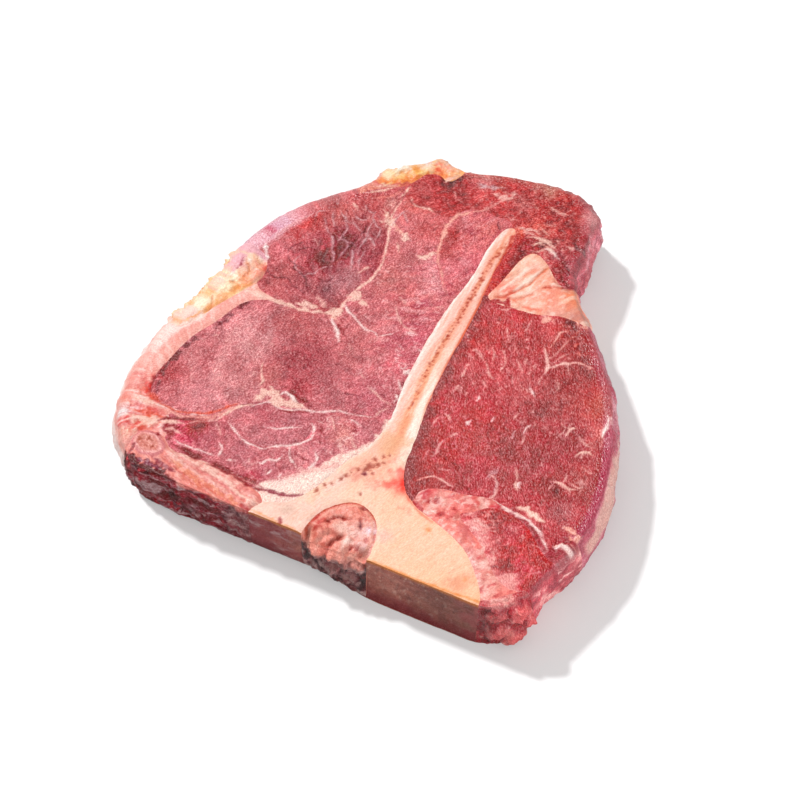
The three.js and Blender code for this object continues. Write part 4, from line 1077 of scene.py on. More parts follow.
def paint_rump_fat(c):
    fat_face(c, "#fdd2a6", 60, 3.0, 0.25, 0.05, 0.75)
    # lobes: painted highlight on their lifted crests, painted shade in the orange troughs
    lobes = noise(*turned(c.x, c.y, 62, 2.0), 3.4, 61, 3)
    c.waves(lobes, ("#fff2d8", 0.85, 0.1, 0.9), ("#f49c54", 0.6, 0.1, 1.1), 0.5)
    d, _ = to_line(c.x, c.y, open_curve([(-67, 4), (-70, -2), (-75, -7), (-79, -17), (-84, -27)]))
    c.blend(0.75 * smooth(2.4, 0.4, d + 0.5 * noise(c.x, c.y, 2.5, 62)), "#ef8c48")
    # a knob of pinker lobes at its upper end
    knob = smooth(9.5, 7, np.hypot(c.x + 71, c.y - 5) + 1.2 * noise(c.x, c.y, 3, 63))
    c.blend(0.85 * knob, "#fdc6b0")
    # the near-white and bluish-white spots among these are painted highlights
    c.spots("""
        -74.5 8.6 3.2 #fcc2a2 0.85 0.7, -70 3 3 #ff9e89 0.85 0.8, -67.6 7 2.2 #d24339 0.85 0.5,
        -77.4 5 1.8 #e09a90 0.85 -0.5, -73.4 -1.8 2.6 #f49062 0.85 0.4, -84 -8 3 #f298aa 0.85 0.3,
        -88 -17 2.2 #deffff 0.85 0.5, -79 -9 3.4 #ffe0bc 0.85 0.5, -72 10.4 1.4 #fff0e6 0.85 0.5,
        -71 4.6 1 #fff0e6 0.85 0.3, -75.6 7.4 0.9 #fff2ea 0.85 0.3, -78 -13.6 2.4 #ffb080 0.85 0.4
    """, ragged=0.8)
    # crevices between the lobes, sunk and painted darker orange as their shade
    c.lines("""
        #dd7a4c 0.6 -0.35 | 0.8 | -76.7,6.4 -74.6,4.6 -73.2,1.2 -74.6,-0.8
        #dd7a4c 0.6 -0.35 | 0.6 | -72.4,6.8 -70.4,5.8 -68.4,5.2
        #dd7a4c 0.6 -0.35 | 0.6 | -74,12 -72.2,8.4 -70,8
        #dd7a4c 0.6 -0.35 | 0.7 | -73.6,-5.2 -76,-4.4 -79.5,-5.2
        #dd7a4c 0.6 -0.35 | 0.7 | -82,-14 -80,-17.6 -79.8,-22
    """, fat=0.8)
    c.lines("#a2443c 0.7 -0.3 | 0.8 | -68.2,10.6 -66.6,4 -68.4,-0.6", fat=0.3)
    # the muscle's skin behind the knob, and the pale cap at the other end
    shake = noise(c.x, c.y, 3, 64)
    beside = smooth(-76.5, -79, c.x + 0.1 * c.y + 1.2 * shake)
    skin = smooth(-4, 1, c.y - 0.4 * (c.x + 84) + 2 * shake) * beside
    skin = np.maximum(skin, smooth(9.5, 12, c.y + 0.8 * shake))
    c.blend(0.92 * skin, "#f0b0bc", 0.4)
    # the near-white line is a painted glint on the skin
    c.lines("#fff4f4 0.95 0 | 0.8 1.6 0.8 | -81.8,1 -81.4,6 -80.4,10", fat=1, soft=0.4)
    c.lines("#b04a58 0.8 0 | 0.6 1 0.6 | -78.6,1.4 -78.2,4.6 -78.8,8", fat=0.2, soft=0.4)
    cap = smooth(-20, -25, c.y + 0.35 * (c.x + 84) + 1.4 * shake)
    c.blend(0.95 * cap, "#fad0c4", 1)
    c.lines("#ee9a62 0.8 0.3 | 1.4 1 0.6 | -82,-21.5 -85.4,-26.4 -88.4,-32",
            fat=1, ragged=0.9, soft=0.5)


def paint_back_fat(c):
    fat_face(c, "#f8a26b", 70, 3.4, 0.3, 0.05, 0.7)
    # the bluish-white spots among these are painted highlights
    c.spots("""
        -21 85 4 #eac5c0, -30 81 3 #e9dce6, -39 74 4 #f6ffff, -47 66 4 #f3ffff, -50 60 3 #ffffff,
        -24 80 2.4 #f14e34, -31 76 3 #f6a851, -37 70.6 3 #efb067, -42 65 2.4 #eac8ba
    """, 0.85, ragged=0.8)
    # lobes: painted highlight on their lifted crests, painted shade in the troughs
    n = noise(*turned(c.x, c.y, 50, 2.4), 3.0, 71, 3)
    c.waves(n, ("#fde2ac", 0.55, 0.2, 1.1), ("#ee8240", 0.6, 0.2, 1.2), 0.5)
    c.lines("#ee7634 0.8 0 | 2 | -47,63 -42.5,66 -38,68 -33,71 -29.5,75 -25,77.4 -20,79.2",
            fat=1, ragged=0.8, soft=0.8)
    c.lines("#d4625a 0.85 0 | 2.6 | -47,60.5 -42,63.2 -37.5,65.2 -33,68 -31,71",
            fat=0.4, ragged=0.8, soft=0.6)
    c.lines("#f6baa8 0.8 0.2 | 0.8 | -46,61.4 -41,64 -36,66.4", fat=0.8, soft=0.4)


def paint_kidney_fat(c):
    fat_face(c, "#f4b39b", 80, 2.6, 0.14, 0.03, 0.6)
    c.spots("""
        51 45 5 #f07a50, 48 34 5 #ea9688, 42 43 5 #f28a73, 32 52 4 #f2b7a6, 25 38 4 #f17664,
        36 38 3 #f6a692, 46 50 3 #6c0000, 57 38 5 #c98075
    """, 0.85, 0.2)
    n = noise(*turned(c.x, c.y, 60, 2.2), 2.2, 83, 3)
    c.waves(n, ("#fedccc", 0.6, 0.2, 1.2), ("#ee8468", 0.55, 0.2, 1.2))
    c.lines("""
        #d6603e 0.8 -0.5 | 1.2 1 0.6 | 36.5,55.6 34.6,50 32.8,44.6 30,40.5
        #cc4a34 0.8 -0.5 | 0.7 1 0.8 | 30.6,42.5 26,35.4 22.4,33
        #ee8468 0.8 -0.6 | 0.6 1.4 0.8 | 27.2,34.2 31,35.6 36,40.4
        #c4402c 0.8 -0.5 | 0.6 0.9 0.5 | 38.2,44.6 41.6,46.6 45.2,48
        #fedccd 0.8 0.35 | 1.4 1.8 1.2 | 23,36 26,43 30,52
        #fddaca 0.8 0.3 | 1 1.6 0.8 | 34.6,53 31.6,45.6 27.6,38.6
        #e8694e 0.8 -0.2 | 0.8 1.6 0.8 | 34,33 38,33.6 42,34.4
    """, soft=0.6, fat=0.9)
    # lean showing at the foot of its left lobe
    c.lines("#b4343e 0.92 -0.3 | 1.4 2.6 3.4 2.6 | 20.6,30.4 25,31.2 28,31.6 31,31.2",
            fat=0.1, ragged=0.9, soft=0.4, taper=0)
    c.flecks("""
        30 45 9 22 2.6 0.5 60 25 #fee6dc 28 0.6
        45 40 9 26 2.6 0.5 10 40 #fee0d2 29 0.6
    """)


def paint_corner_trim(c):
    c.base("#ca5256", 0.5, 0.85)
    n = noise(c.x, c.y, 3.0, 90, 3)
    c.waves(n, ("#f2a298", 0.8, 0.2, 1.1, 0.8), ("#a4202e", 0.75, 0.4, 1.2, 0.2))
    c.mottle(1.4, 0.06, 91)
    c.spot(76, -91, 4, "#f4b0a6", 0.8, fat=0.9)
    c.rise += 0.9 * noise(c.x, c.y, 3.6, 92, 3)


def paint_spine_band(c):
    fat_face(c, "#ec9488", 100, 2.4, 0.2, 0.04, 0.65)
    # strands that run along it
    c.lines("""
        #f6b0a6 0.8 0.2 | 2.2 | -70,-78.6 -60,-82.2 -48,-84.4 -36,-86.8 -25,-90
        #fdcdbd 0.95 0.3 | 3.4 | -68,-80.6 -59,-84.6 -48,-86.2 -37,-89 -24,-92.6
        #de6c6a 0.8 -0.3 | 0.8 | -64,-83.4 -54,-86.9 -42,-88.8 -30,-92.2
        #f9bcb2 0.8 0.2 | 1.6 | -66,-84.8 -56,-88.4 -44,-90.4 -32,-93.8
        #ee9070 0.9 0.1 | 2.6 | -62,-88.2 -52,-91.4 -40,-93.2 -28,-95.2
        #d6645c 0.7 -0.3 | 1 | -66,-88.4 -58,-91 -50,-93.6
        #e87e6a 0.8 0 | 1.6 | -58,-92.6 -48,-94.6 -38,-95.4
        #fbd4ca 0.8 0.3 | 1.2 | -72,-77.8 -64,-80.2 -55,-82.6
        #fbd0be 0.8 0.1 | 1.6 | -26,-90.6 -22,-92.4 -18,-94
        #b03038 0.7 0 | 2 | -30,-94.8 -24,-95.4
    """, soft=0.5, ragged=0.6, fat=0.9)
    # strands along it: painted highlight on their lifted crests, painted shade in the troughs
    strand = noise(*turned(c.x, c.y, -17, 5), 1.1, 102, 3)
    c.waves(strand, ("#fddccf", 0.4, 0.2, 1.2), ("#d9605c", 0.4, 0.3, 1.2), 0.2)
    # spongy tip of the spine in its ring of gristle
    u, v = turned(c.x + 74.5, c.y + 85, -12, 1)
    d = np.hypot(u / 7.0, v / 5.2) + 0.05 * noise(c.x, c.y, 3, 104)
    c.blend(smooth(1.15, 0.95, d) * 0.9, "#eb9f9a", 0.7)
    c.blend(smooth(0.16, 0.05, np.abs(d - 0.93)) * 0.5, "#d98088", 0.6)
    c.blend(smooth(0.12, 0.03, np.abs(d - 0.78)) * 0.5, "#f9c2b8", 0.8)
    c.blend(smooth(0.72, 0.58, d) * 0.8, "#e29080", 0.6)
    cells = noise(c.x, c.y, 1.0, 103, 2)
    c.waves(cells, ("#b8604e", 0.8, 0.4, 1, 0.3), ("#f2b3a2", 0.6, 0.4, 1, 0.5), 0, smooth(0.66, 0.56, d))
    c.rise += 0.3 * smooth(1.1, 0.85, d) - 0.4 * smooth(0.66, 0.58, d) * smooth(0.3, 0.9, cells)
    c.colour *= np.array([0.97, 0.92, 0.92])
    c.lines("#70101e 0.95 -0.3 | 2 3.4 6 6.4 4.6 1.6 | -81,-92 -79,-94 -75,-95 -70,-95.4 -64,-95.4 -57,-96",
            fat=0, ragged=0.5, soft=0.7)
    c.lines("#a0687c 0.6 0 | 1 2 1 | -76,-92.4 -70,-93 -65,-93.2", fat=0.2, ragged=1.0)
    c.lines("#8f3a4a 0.7 0 | 0.8 1.6 0.8 | -70,-90 -64,-91.4 -59,-92", fat=0.1, ragged=1.0)


def paint_bone(c):
    c.base("#fbcab0", 1.0, 0.4)
    left, _ = to_line(c.x, c.y, np.array(ARM_LEFT))
    right, _ = to_line(c.x, c.y, np.array(ARM_RIGHT))
    u = (left - right) / (left + right + 1e-6) + 0.05 * noise(c.x, c.y, 5, 110)
    arm = smooth(-60, -44, c.y)
    high = smooth(-20, 20, c.y)
    c.blend(arm * smooth(0.1, -0.35, u) * 0.9, "#fbc6b8")
    c.blend(arm * smooth(0.15, 0.5, u) * (1 - high) * 0.95, "#fdd9c8")
    c.blend(arm * smooth(0.15, 0.5, u) * high * 0.9, "#fbc2b2")
    marrow = np.exp(-((u - 0.02) / 0.34) ** 2)
    c.blend(arm * marrow * 0.9 * high, "#f0907e")
    c.blend(arm * marrow * 0.9 * (1 - high), "#f69c72")
    # pale band near the right edge of the arm: painted highlight
    c.blend(smooth(-72, -56, c.y) * smooth(14, -24, c.y) * smooth(5.0, 2.4, right) * 0.75, "#ffeedf")
    # white line along the arm's left edge: its lining, with a painted highlight on it
    c.blend(smooth(1.1, 0.3, left) * smooth(-62, -50, c.y) * 0.7, "#fff0ea")
    # pores of the spongy middle
    line = smooth(0.28, 0.10, np.abs(u - 0.02)) * arm
    pore = noise(*turned(c.x, c.y, 80, 1.3), 0.62, 111, 1)
    fade = 0.35 + 0.65 * smooth(-24, 20, c.y)
    c.blend(arm * smooth(0.42, 0.1, np.abs(u - 0.02)) * 0.5 * fade, "#f0a080")
    c.blend(line * 0.5 * fade * smooth(0.0, 0.8, noise(c.x, c.y, 2.4, 113)), "#e08a64")
    c.blend(line * smooth(0.45, 1.0, pore) * fade * 0.7, "#c05a38")
    rng = np.random.default_rng(19)
    centre = open_curve([(16.5, 60), (14, 44), (13.6, 30), (12.6, 12), (11.6, -8), (12, -30)])
    for _ in range(BONE_PORES):
        y = 59 - 88 * rng.random() ** 1.25
        x = np.interp(-y, -centre[:, 1], centre[:, 0]) + rng.normal(0, 0.55)
        radius = rng.uniform(0.28, 0.5)
        strength = rng.uniform(0.6, 1) * np.interp(y, [-30, 10], [0.4, 1])
        c.spot(x, y, radius, "#9c2414", strength, ragged=0.3, rise=-0.05, sharp=1.3)
    c.blend(arm * smooth(44, 60, c.y) * smooth(0.6, 2, left) * 0.6, "#f29a7a")
    streak = noise(*turned(c.x, c.y, 87, 9), 0.8, 114, 3)
    c.waves(streak, ("#fff0e8", 0.35, 0.2, 1.2), ("#ee9d84", 0.4, 0.2, 1.2), 0, arm)
    c.blend(smooth(1.0, 0.3, right) * arm * smooth(-44, -10, c.y) * 0.85, "#de5636")
    # its tip is buried in the flank on the right
    buried = np.interp(c.y, [40, 50, 57, 62, 68], [-0.6, -0.1, 1.2, 2.2, 3.5]) - right
    buried = buried + 0.3 * noise(c.x, c.y, 2, 117)
    fibre = noise(*turned(c.x, c.y, 78, 4), 1.0, 118, 2)
    c.blend(smooth(-0.3, 0.7, buried) * 0.9, "#c2453c", 0.2)
    c.waves(fibre, ("#ee9080", 0.7, 0.2, 1.1, 0.5), ("#7e2a34", 0.7, 0.2, 1.1, 0.1), 0,
            smooth(-0.1, 0.7, buried))
    # lamina, junction and body
    lamina = smooth(6, -6, c.x + 0.5 * (c.y + 70)) * smooth(-50, -64, c.y)
    c.blend(0.85 * lamina, "#facabb")
    body = smooth(-50, -64, c.y) * smooth(12, 26, c.x)
    c.blend(0.85 * body, "#fcc5a6")
    c.blend(0.6 * smooth(-80, -96, c.y) * smooth(20, 60, c.x), "#fbbd92")
    c.spots("""
        12 -46 6 #eaab85 0.8, 9 -58 6 #fca892 0.6, 24 -60 5 #ff1e19 0.8, -8 -76 5 #f6caaa 0.8,
        1 -69 3 #f5cdc6 0.5, -12 -89 3 #d8ae9c 0.7, 60 -91 4 #e28a6b 0.6, 41 -74.6 1.3 #f08e58 0.8,
        62 -88 1.3 #ee8450 0.5, 6 -64 3 #d46457 0.5, 26 -84 3 #f6b8af 0.6
    """, ragged=0.7)
    for x, y, radius in ((9, -58.4, 1.5), (11.4, -56.4, 1.0), (7.6, -60.4, 0.8), (5.4, -61.8, 0.7),
                         (13.2, -55, 0.6), (2.4, -66, 0.7), (1, -68, 0.8), (-3.6, -73.2, 0.9),
                         (-1.4, -71.6, 0.6), (11, -61, 0.6), (9.2, -54.8, 0.7), (14, -51, 0.5),
                         (-5.4, -76.4, 1.0), (10.6, -71.2, 0.6), (3.4, -64, 0.5), (12, -52.6, 0.5)):
        c.spot(x, y, radius, "#9a3a2c", 0.8, ragged=0.9, rise=-0.4, sharp=1.3)
    c.spot(8.4, -62.4, 0.9, "#6d1424", 0.95, rise=-0.5, sharp=1.5)
    c.lines("#ec9055 0.6 0 | 1 | -26,-94.6 -14,-95.4 -4,-95.6", fat=1)
    c.lines("#e8843c 0.7 0 | 1 | 24,-95.4 48,-95.5 71,-94.2", fat=1, taper=0)
    c.lines("#a23c3e 0.8 -0.3 | 1.6 | -13,-93.4 -12,-95 -13,-96", fat=0.5)
    c.lines("#ef7660 0.7 0 | 1 | 25.6,-62 32,-67.6 41,-70.9", fat=0.9, soft=0.5)
    saw = noise(*turned(c.x, c.y, 66, 5), 0.8, 115, 3)
    low = smooth(-40, -60, c.y)
    c.waves(saw, ("#ffe9d8", 0.16, 0.1, 1.2), ("#f2a67e", 0.16, 0.1, 1.2), 0, low)
    c.rise += 0.04 * saw + 0.03 * noise(c.x, c.y, 1.2, 116)


def paint_spinal_tissue(c):
    c.base("#f0917f", 0.7, 0.75)
    n = noise(c.x, c.y, 2.2, 120, 3)
    c.waves(n, ("#fbbfb0", 0.6, 0.2, 1.1, 0.9), ("#c9584c", 0.55, 0.3, 1.1, 0.5))
    c.spots("""
        4 -82 3.5 #ee887a 0.85 0.3, 12 -77.6 3 #e8806e 0.85 0.2, 10 -86.6 3.6 #f4c4b6 0.85 1.1,
        17.6 -86 3.4 #f0beb6 0.85 0.5, 14 -91.6 2.4 #ffe0d4 0.85 0.3, 3.4 -90.4 2.4 #f29685 0.85 0.3,
        21.4 -83.6 2.4 #fbe2ee 0.85 0.2, 0 -88 2 #b20000 0.85 0, 22 -91 2.6 #ffccc8 0.85 0.2
    """, ragged=0.8, fat=0.8)
    arc = [(-1.5, -96), (-2, -90), (2.5, -80.5), (11.5, -74.8), (20.5, -78.5), (24.4, -88), (23.6, -96)]
    d, at = to_line(c.x, c.y, open_curve(arc))
    ring = smooth(0.0, 0.1, at) * smooth(0.78, 0.62, at)
    c.blend(0.9 * smooth(0.8, 0.3, d) * ring, "#c04c34", 0.5)
    c.blend(0.7 * smooth(0.9, 0.2, np.abs(d - 1.7)), "#f7b09c", 0.8)
    c.rise -= 0.25 * smooth(0.9, 0.3, d)
    # dark clefts between the lumps, sunk and painted darker as their shade
    c.lines("""
        #a8403a 0.85 -1 | 0.8 1.3 1.1 0.7 | 3.4,-87.4 5.6,-84.8 8.4,-83 12,-82.4
        #a83e38 0.85 -0.6 | 0.6 1 0.6 | 13,-76.8 15,-75.8 17.6,-76
        #a35a60 0.85 -1 | 0.8 1.4 0.8 | 14.4,-81 16.6,-82.8 17,-85
        #b03c40 0.85 -0.6 | 1 | 20.2,-88 21.6,-89.4
        #b23f40 0.85 -0.7 | 1 | 16.4,-93.6 18,-92 19.4,-93
        #c2584e 0.85 -0.9 | 1 | 8,-96 9.6,-92.4 12.4,-89.4
    """, fat=0.3, ragged=0.9, soft=0.5)
    c.rise += 0.35 * noise(c.x, c.y, 2.6, 123, 3)


PAINTERS = {
    "strip_loin": paint_strip_loin, "sirloin_cap": paint_sirloin_cap, "tenderloin": paint_tenderloin,
    "back_muscle": paint_back_muscle, "oval_muscle": paint_oval_muscle,
    "arm_muscle": paint_arm_muscle, "flank_tail": paint_flank_tail, "side_strap": paint_side_strap,
    "seam_fat": paint_seam_fat, "fat_cap": paint_fat_cap, "rump_fat": paint_rump_fat,
    "back_fat": paint_back_fat, "kidney_fat": paint_kidney_fat, "corner_trim": paint_corner_trim,
    "spine_band": paint_spine_band, "bone": paint_bone, "spinal_tissue": paint_spinal_tissue,
}
# Nodes that the sheets and threads of MARKS leave alone.
NO_MARKS = {"bone", "spinal_tissue", "corner_trim", "rump_fat", "kidney_fat"}


def swells(table, x, y):
    """Height of soft mounds, each x, y, radii and rise."""
    return sum(h * np.exp(-(((x - a) / r) ** 2 + ((y - b) / s) ** 2) / 2) for a, b, r, s, h in table)


def face_height(name, x, y):
    """The upper face of a node before its painter's relief."""
    if name in ("bone", "spine_band"):
        return BONE_FACE - 0.6 * smooth(52, 64, y)
    if name == "spinal_tissue":
        slope = 4.6 * smooth(7, 0, y + 96 + 1.6 * noise(x, y, 4, 124, 2))
        return FACE - 0.4 + swells(CANAL_LUMPS, x, y) - slope
    return FACE + swells(SWELLS, x, y)


# ---- the outer wall ----

# Colour, patches of a second and third colour, size and height of the lumps, gloss, fatness.
WALLS = {
    # the sawn front walls, spine_band and bone, are painted darker than their faces, partly with blood and
    # partly as painted shade
    "spine_band": ("#841a2a", "#a82838", "#541220", 5.0, 0.9, 0.2, 0.0),
    "fat_cap": ("#f6a99c", "#fbcfc2", "#ee8f80", 7.0, 0.5, 0.6, 1.0),
    "rump_fat": ("#fdd2a4", "#fee8c8", "#f3a868", 4.6, 1.5, 0.6, 1.0),
    "back_fat": ("#f9a468", "#fdcc9c", "#f08a4c", 5.0, 1.2, 0.6, 1.0),
    "sirloin_cap": ("#e8a4b0", "#fbdbe0", "#bc5c70", 9.0, 0.3, 0.9, 0.3),
    "flank_tail": ("#b85c66", "#d8909a", "#9c3e48", 7.0, 0.9, 0.85, 0.4),
    "kidney_fat": ("#ec8c74", "#f8b8a2", "#d46a56", 7.0, 0.5, 0.6, 1.0),
    "tenderloin": ("#ac4c5e", "#c6848c", "#963848", 9.0, 0.5, 0.85, 0.4),
    "seam_fat": ("#a84850", "#d8928e", "#842834", 6.0, 0.6, 0.8, 0.4),
    "side_strap": ("#b84a54", "#e49c98", "#8e2c3a", 6.0, 0.6, 0.8, 0.3),
    "corner_trim": ("#b03038", "#d07870", "#7a0e1a", 3.0, 0.9, 0.9, 0.3),
    # the canal's wall after the bone has pale patches of painted highlight and near-black ones of painted
    # shade
    "bone": ("#bf7464", "#a85e52", "#cc8676", 4.0, 0.16, 0.3, 0.6),
    "spinal_tissue": ("#985050", "#e4bab4", "#480c16", 3.2, 1.1, 0.8, 0.5),
    "back_muscle": ("#c06068", "#e59a98", "#a04a54", 6.0, 0.5, 0.7, 0.2),
}
# Streaks across a wall: colour, how far they run along it and up it in mm, how thin, strength.
WALL_STREAKS = {
    # the grey-pink streaks on the spine band's wall are painted sheen; the crimson ones are its own colour
    "spine_band": [("#c8a2a4", 8, 3.0, 0.5, 0.95), ("#cc1c34", 4, 3, 0.7, 0.9),
                   ("#dcbcb8", 3, 1.6, 0.9, 0.8)],
    # the near-white streak on the sirloin cap's wall is a painted highlight
    "sirloin_cap": [("#fff0f0", 22, 1.2, 0.4, 0.9), ("#a83a58", 22, 1.0, 0.5, 0.8)],
    "flank_tail": [("#e8a8a8", 3, 12, 0.6, 0.5), ("#8c3040", 3, 12, 0.6, 0.6)],
    "tenderloin": [("#c08490", 14, 2.2, 0.6, 0.45), ("#9c3044", 9, 6, 0.7, 0.5)],
    "fat_cap": [("#ffe9e4", 14, 3.4, 0.6, 0.5), ("#ee9488", 14, 3.0, 0.7, 0.5)],
    "rump_fat": [("#e8803c", 5, 2.6, 0.6, 0.8), ("#fff6e4", 4, 2.4, 0.8, 0.8)],
    "back_fat": [("#e8702c", 7, 2.2, 0.6, 0.8), ("#f6e2a0", 6, 2.4, 0.7, 0.7)],
    "side_strap": [("#f2bcb4", 4, 3, 0.8, 0.7)],
    "seam_fat": [("#f6c8c0", 9, 1.4, 0.8, 0.8)],
    # on the canal's and the corner's walls the dark streaks are painted shade in folds and the pale ones
    # painted highlight
    "spinal_tissue": [("#661420", 1.8, 5, 0.7, 0.8), ("#f4d0c8", 2.4, 2, 0.8, 0.8)],
    "corner_trim": [("#6c121c", 2.2, 2.2, 0.8, 0.85), ("#fdc8bc", 2.4, 1.8, 0.9, 0.7)],
    "bone": [("#ecc4b4", 1.0, 2.2, 0.9, 0.6), ("#7c3c36", 1.4, 4.0, 0.9, 0.45)],
}
PLAIN_WALL = ("#bf6066", "#e59a98", "#a04a54", 6.0, 0.5, 0.7, 0.2)
# How far down each wall keeps the colour of the face above it.
WALL_EDGES = {"spine_band": 2.2, "corner_trim": 2.2, "tenderloin": 1.4, "fat_cap": 5.5}
PLAIN_EDGE = 6.0
# Where a wall of fat thins out onto its neighbours: their colours, at its two ends.
WALL_ENDS = {"rump_fat": ("#dc9aae", "#fbcabc"), "back_fat": ("#b4606a", "#d898aa"),
             "sirloin_cap": ("#d898aa", "#dc9aae")}


def ball_reach(balls, p, n):
    """How far each wall point must move along its normal to lie on the balls that cover it, and
    how near it is to the middle of one: 1 there, 0 at its edge."""
    best, held = np.zeros(len(p)), np.full(len(p), -9.0)
    for x, y, z, radius in balls:
        to = np.array([x, y, z]) - p
        along = (to[:, :2] * n).sum(1)
        inner = radius**2 - (to**2).sum(1) + along**2
        out = along + np.sqrt(np.clip(inner, 0, None))
        best = np.maximum(best, np.where((inner > 0) & (out > 0), out, 0))
        held = np.maximum(held, inner / radius**2)
    return best, held


class Wall:
    """Wall columns below the places `at` on the rim. top is the height of the upper face there. Rows
    run from the bottom up."""

    def __init__(self, name, at, top):
        first, second, third, size, bulge, gloss, fat = WALLS.get(name, PLAIN_WALL)
        angle = np.radians(np.concatenate([np.linspace(90, 0, LOWER_ROWS + 1)[:-1],
                                           np.linspace(0, 90, UPPER_ROWS + 1)]))[None, :]
        below = (np.arange(LEVELS) < LOWER_ROWS)[None, :]
        base, n = rim[at, :2][:, None, :], rim_normal[at][:, None, :]
        inset = np.where(below, rim[at, 3][:, None], rim[at, 2][:, None]) * (1 - np.cos(angle))
        z = np.where(below, WAIST * (1 - np.sin(angle)), WAIST + (top[:, None] - WAIST) * np.sin(angle))
        s = np.broadcast_to(rim_length[at][:, None], z.shape)
        self.s, self.z, self.down = s, z, top[:, None] - z
        self.points = np.concatenate([base - n * inset[..., None], z[..., None]], 2)
        self.ends = s - s.min(), s.max() - s
        window = smooth(0, 2.5, self.down) * (0.4 + 0.6 * smooth(0, 4, z))
        out = bulge * (noise(s, z * 1.2, size, 140, 3) + 0.35 * noise(s, z, 1.6, 141, 2)) * window
        if name in WALL_LUMPS:
            normals = np.broadcast_to(n, base.shape[:1] + z.shape[1:] + (2,)).reshape(-1, 2)
            reach, held = ball_reach(WALL_LUMPS[name], self.points.reshape(-1, 3), normals)
            out = out + reach.reshape(z.shape) * window
        thins = 5 if name in WALL_ENDS else 1.6
        for end in self.ends:
            out = out * smooth(0, thins, end)
        self.points[..., :2] += n * out[..., None]
        self.x, self.y = self.points[..., 0], self.points[..., 1]

        self.colour = np.broadcast_to(rgb(first), z.shape + (3,)).copy()
        self.fat = np.full(z.shape, fat)
        self.gloss = np.full(z.shape, gloss)
        patch = self.noise(size * 0.8, 150, 3, 0.7)
        self.blend(0.85 * smooth(0.1, 1.0, patch), second)
        self.blend(0.85 * smooth(0.1, 1.0, -patch), third)
        self.colour *= (1 + 0.06 * self.noise(1.4, 151))[..., None]
        for k, (code, along, up, thin, strength) in enumerate(WALL_STREAKS.get(name, ())):
            streak = noise(s / along, z / up, 1.0, 160 + 7 * k, 3)
            self.blend(strength * smooth(thin - 0.25, thin + 0.45, streak), code)
        if name in WALL_LUMPS:
            # painted light on the crowns of the lumps and painted shade in the clefts between them
            crest, cleft = LUMP_HIGHLIGHT_AND_SHADE[name]
            held = held.reshape(z.shape) + 0.12 * self.noise(2, 162, 2)
            self.blend(0.75 * smooth(0.35, 0.85, held), crest)
            self.blend(0.85 * smooth(0.4, 0.1, held) * smooth(-0.7, -0.1, held), cleft)
        # the side turned away from the key light is painted brighter
        self.colour *= (1 + 0.28 * np.clip(n[..., :1], 0, 1))
        for code, end in zip(WALL_ENDS.get(name, ()), self.ends):
            thin = end + 4 * self.noise(7, 157) - 0.45 * np.clip(20 - z, 0, 20)
            self.blend(0.95 * smooth(8, 4, thin), code)

    def noise(self, size, seed, octaves=3, squash=1):
        return noise(self.s * squash, self.z, size, seed, octaves)

    def blend(self, amount, code):
        self.colour += (rgb(code) - self.colour) * amount[..., None]

    def edge(self, depth, at, face_colour):
        """Colours the wall's upper part like the face above it, and further down like a wider
        stretch of the rim."""
        order = np.argsort(at)
        spread_out = np.pad(face_colour[order], ((EDGE_BLUR, EDGE_BLUR), (0, 0)), "edge")
        running = np.cumsum(np.vstack([np.zeros(3), spread_out]), 0)
        window = 2 * EDGE_BLUR + 1
        wide = np.empty_like(face_colour)
        wide[order] = (running[window:] - running[:-window]) / window
        near_top = smooth(4, 1, self.down)[..., None]
        own = wide[:, None, :] + (face_colour - wide)[:, None, :] * near_top
        self.colour += (own - self.colour) * smooth(depth, 0.25 * depth, self.down)[..., None]


def wall_fat_cap(w):
    w.blend(0.9 * smooth(26, 22.5, w.z + 1.5 * w.noise(8, 154, 2)), "#fee0da")


def wall_tenderloin(w):
    """A strip of fat under its skin, thin at its ends."""
    half = 7.5 * np.sqrt(smooth(-2, -18, w.y) * smooth(-56, -40, w.y))
    strip = half + 1.8 * w.noise(7, 159) - np.abs(w.down - 8.4)
    strip = smooth(-1.4, 1.4, strip) * smooth(0, 3, half)
    w.blend(0.88 * strip, "#f6beae")
    w.fat = w.fat + (1 - w.fat) * strip


def wall_spine_band(w):
    w.blend(0.65 * smooth(-44, -27, w.x + 7 * w.noise(6, 158)), "#ae7c78")


def wall_bone(w):
    """Sawn bone with grit and blood on it, clotted where it meets the spine's band."""
    w.blend(0.5 * smooth(0.5, 1.3, w.noise(1.3, 152)), "#a8564c")
    blood = smooth(-0.1, 0.9, w.noise(7, 153, 2, 0.5)) * smooth(16, 2, w.x) * smooth(34, 6, w.z)
    w.blend(0.8 * blood, "#a83440")
    near = smooth(8, -24, w.x + 6 * w.noise(6, 155, 2))
    w.blend(0.7 * near, "#93303c")
    w.colour *= (1 - 0.22 * smooth(34, 58, w.x))[..., None]
    w.blend(0.75 * smooth(60, 73, w.x + 5 * w.noise(4, 163)), "#b45a5a")
    # grey-pink cloudy patches near the spine's band: painted sheen
    cloudy = smooth(0.2, 0.9, noise(w.s / 5, w.z / 2.2, 1.0, 156, 3))
    w.blend(0.85 * near * cloudy, "#c8a4a2")
    w.blend(0.75 * smooth(11, 2, w.z + 2.5 * w.noise(6, 161)), "#8c343a")
    w.blend(0.85 * smooth(2.4, 0.6, w.down), "#dc7c30")


WALL_PAINTERS = {"fat_cap": wall_fat_cap, "tenderloin": wall_tenderloin, "spine_band": wall_spine_band,
                 "bone": wall_bone}


def make_wall(name, at, top, face_colour):
    w = Wall(name, at, top)
    if name in WALL_PAINTERS:
        WALL_PAINTERS[name](w)
    if name == "sirloin_cap":
        w.edge(np.interp(w.x, [-80, -66, -52], [5, 12, 22]), at, face_colour)
    elif name != "bone":
        w.edge(WALL_EDGES.get(name, PLAIN_EDGE), at, face_colour)
    return w


# ---- materials ----

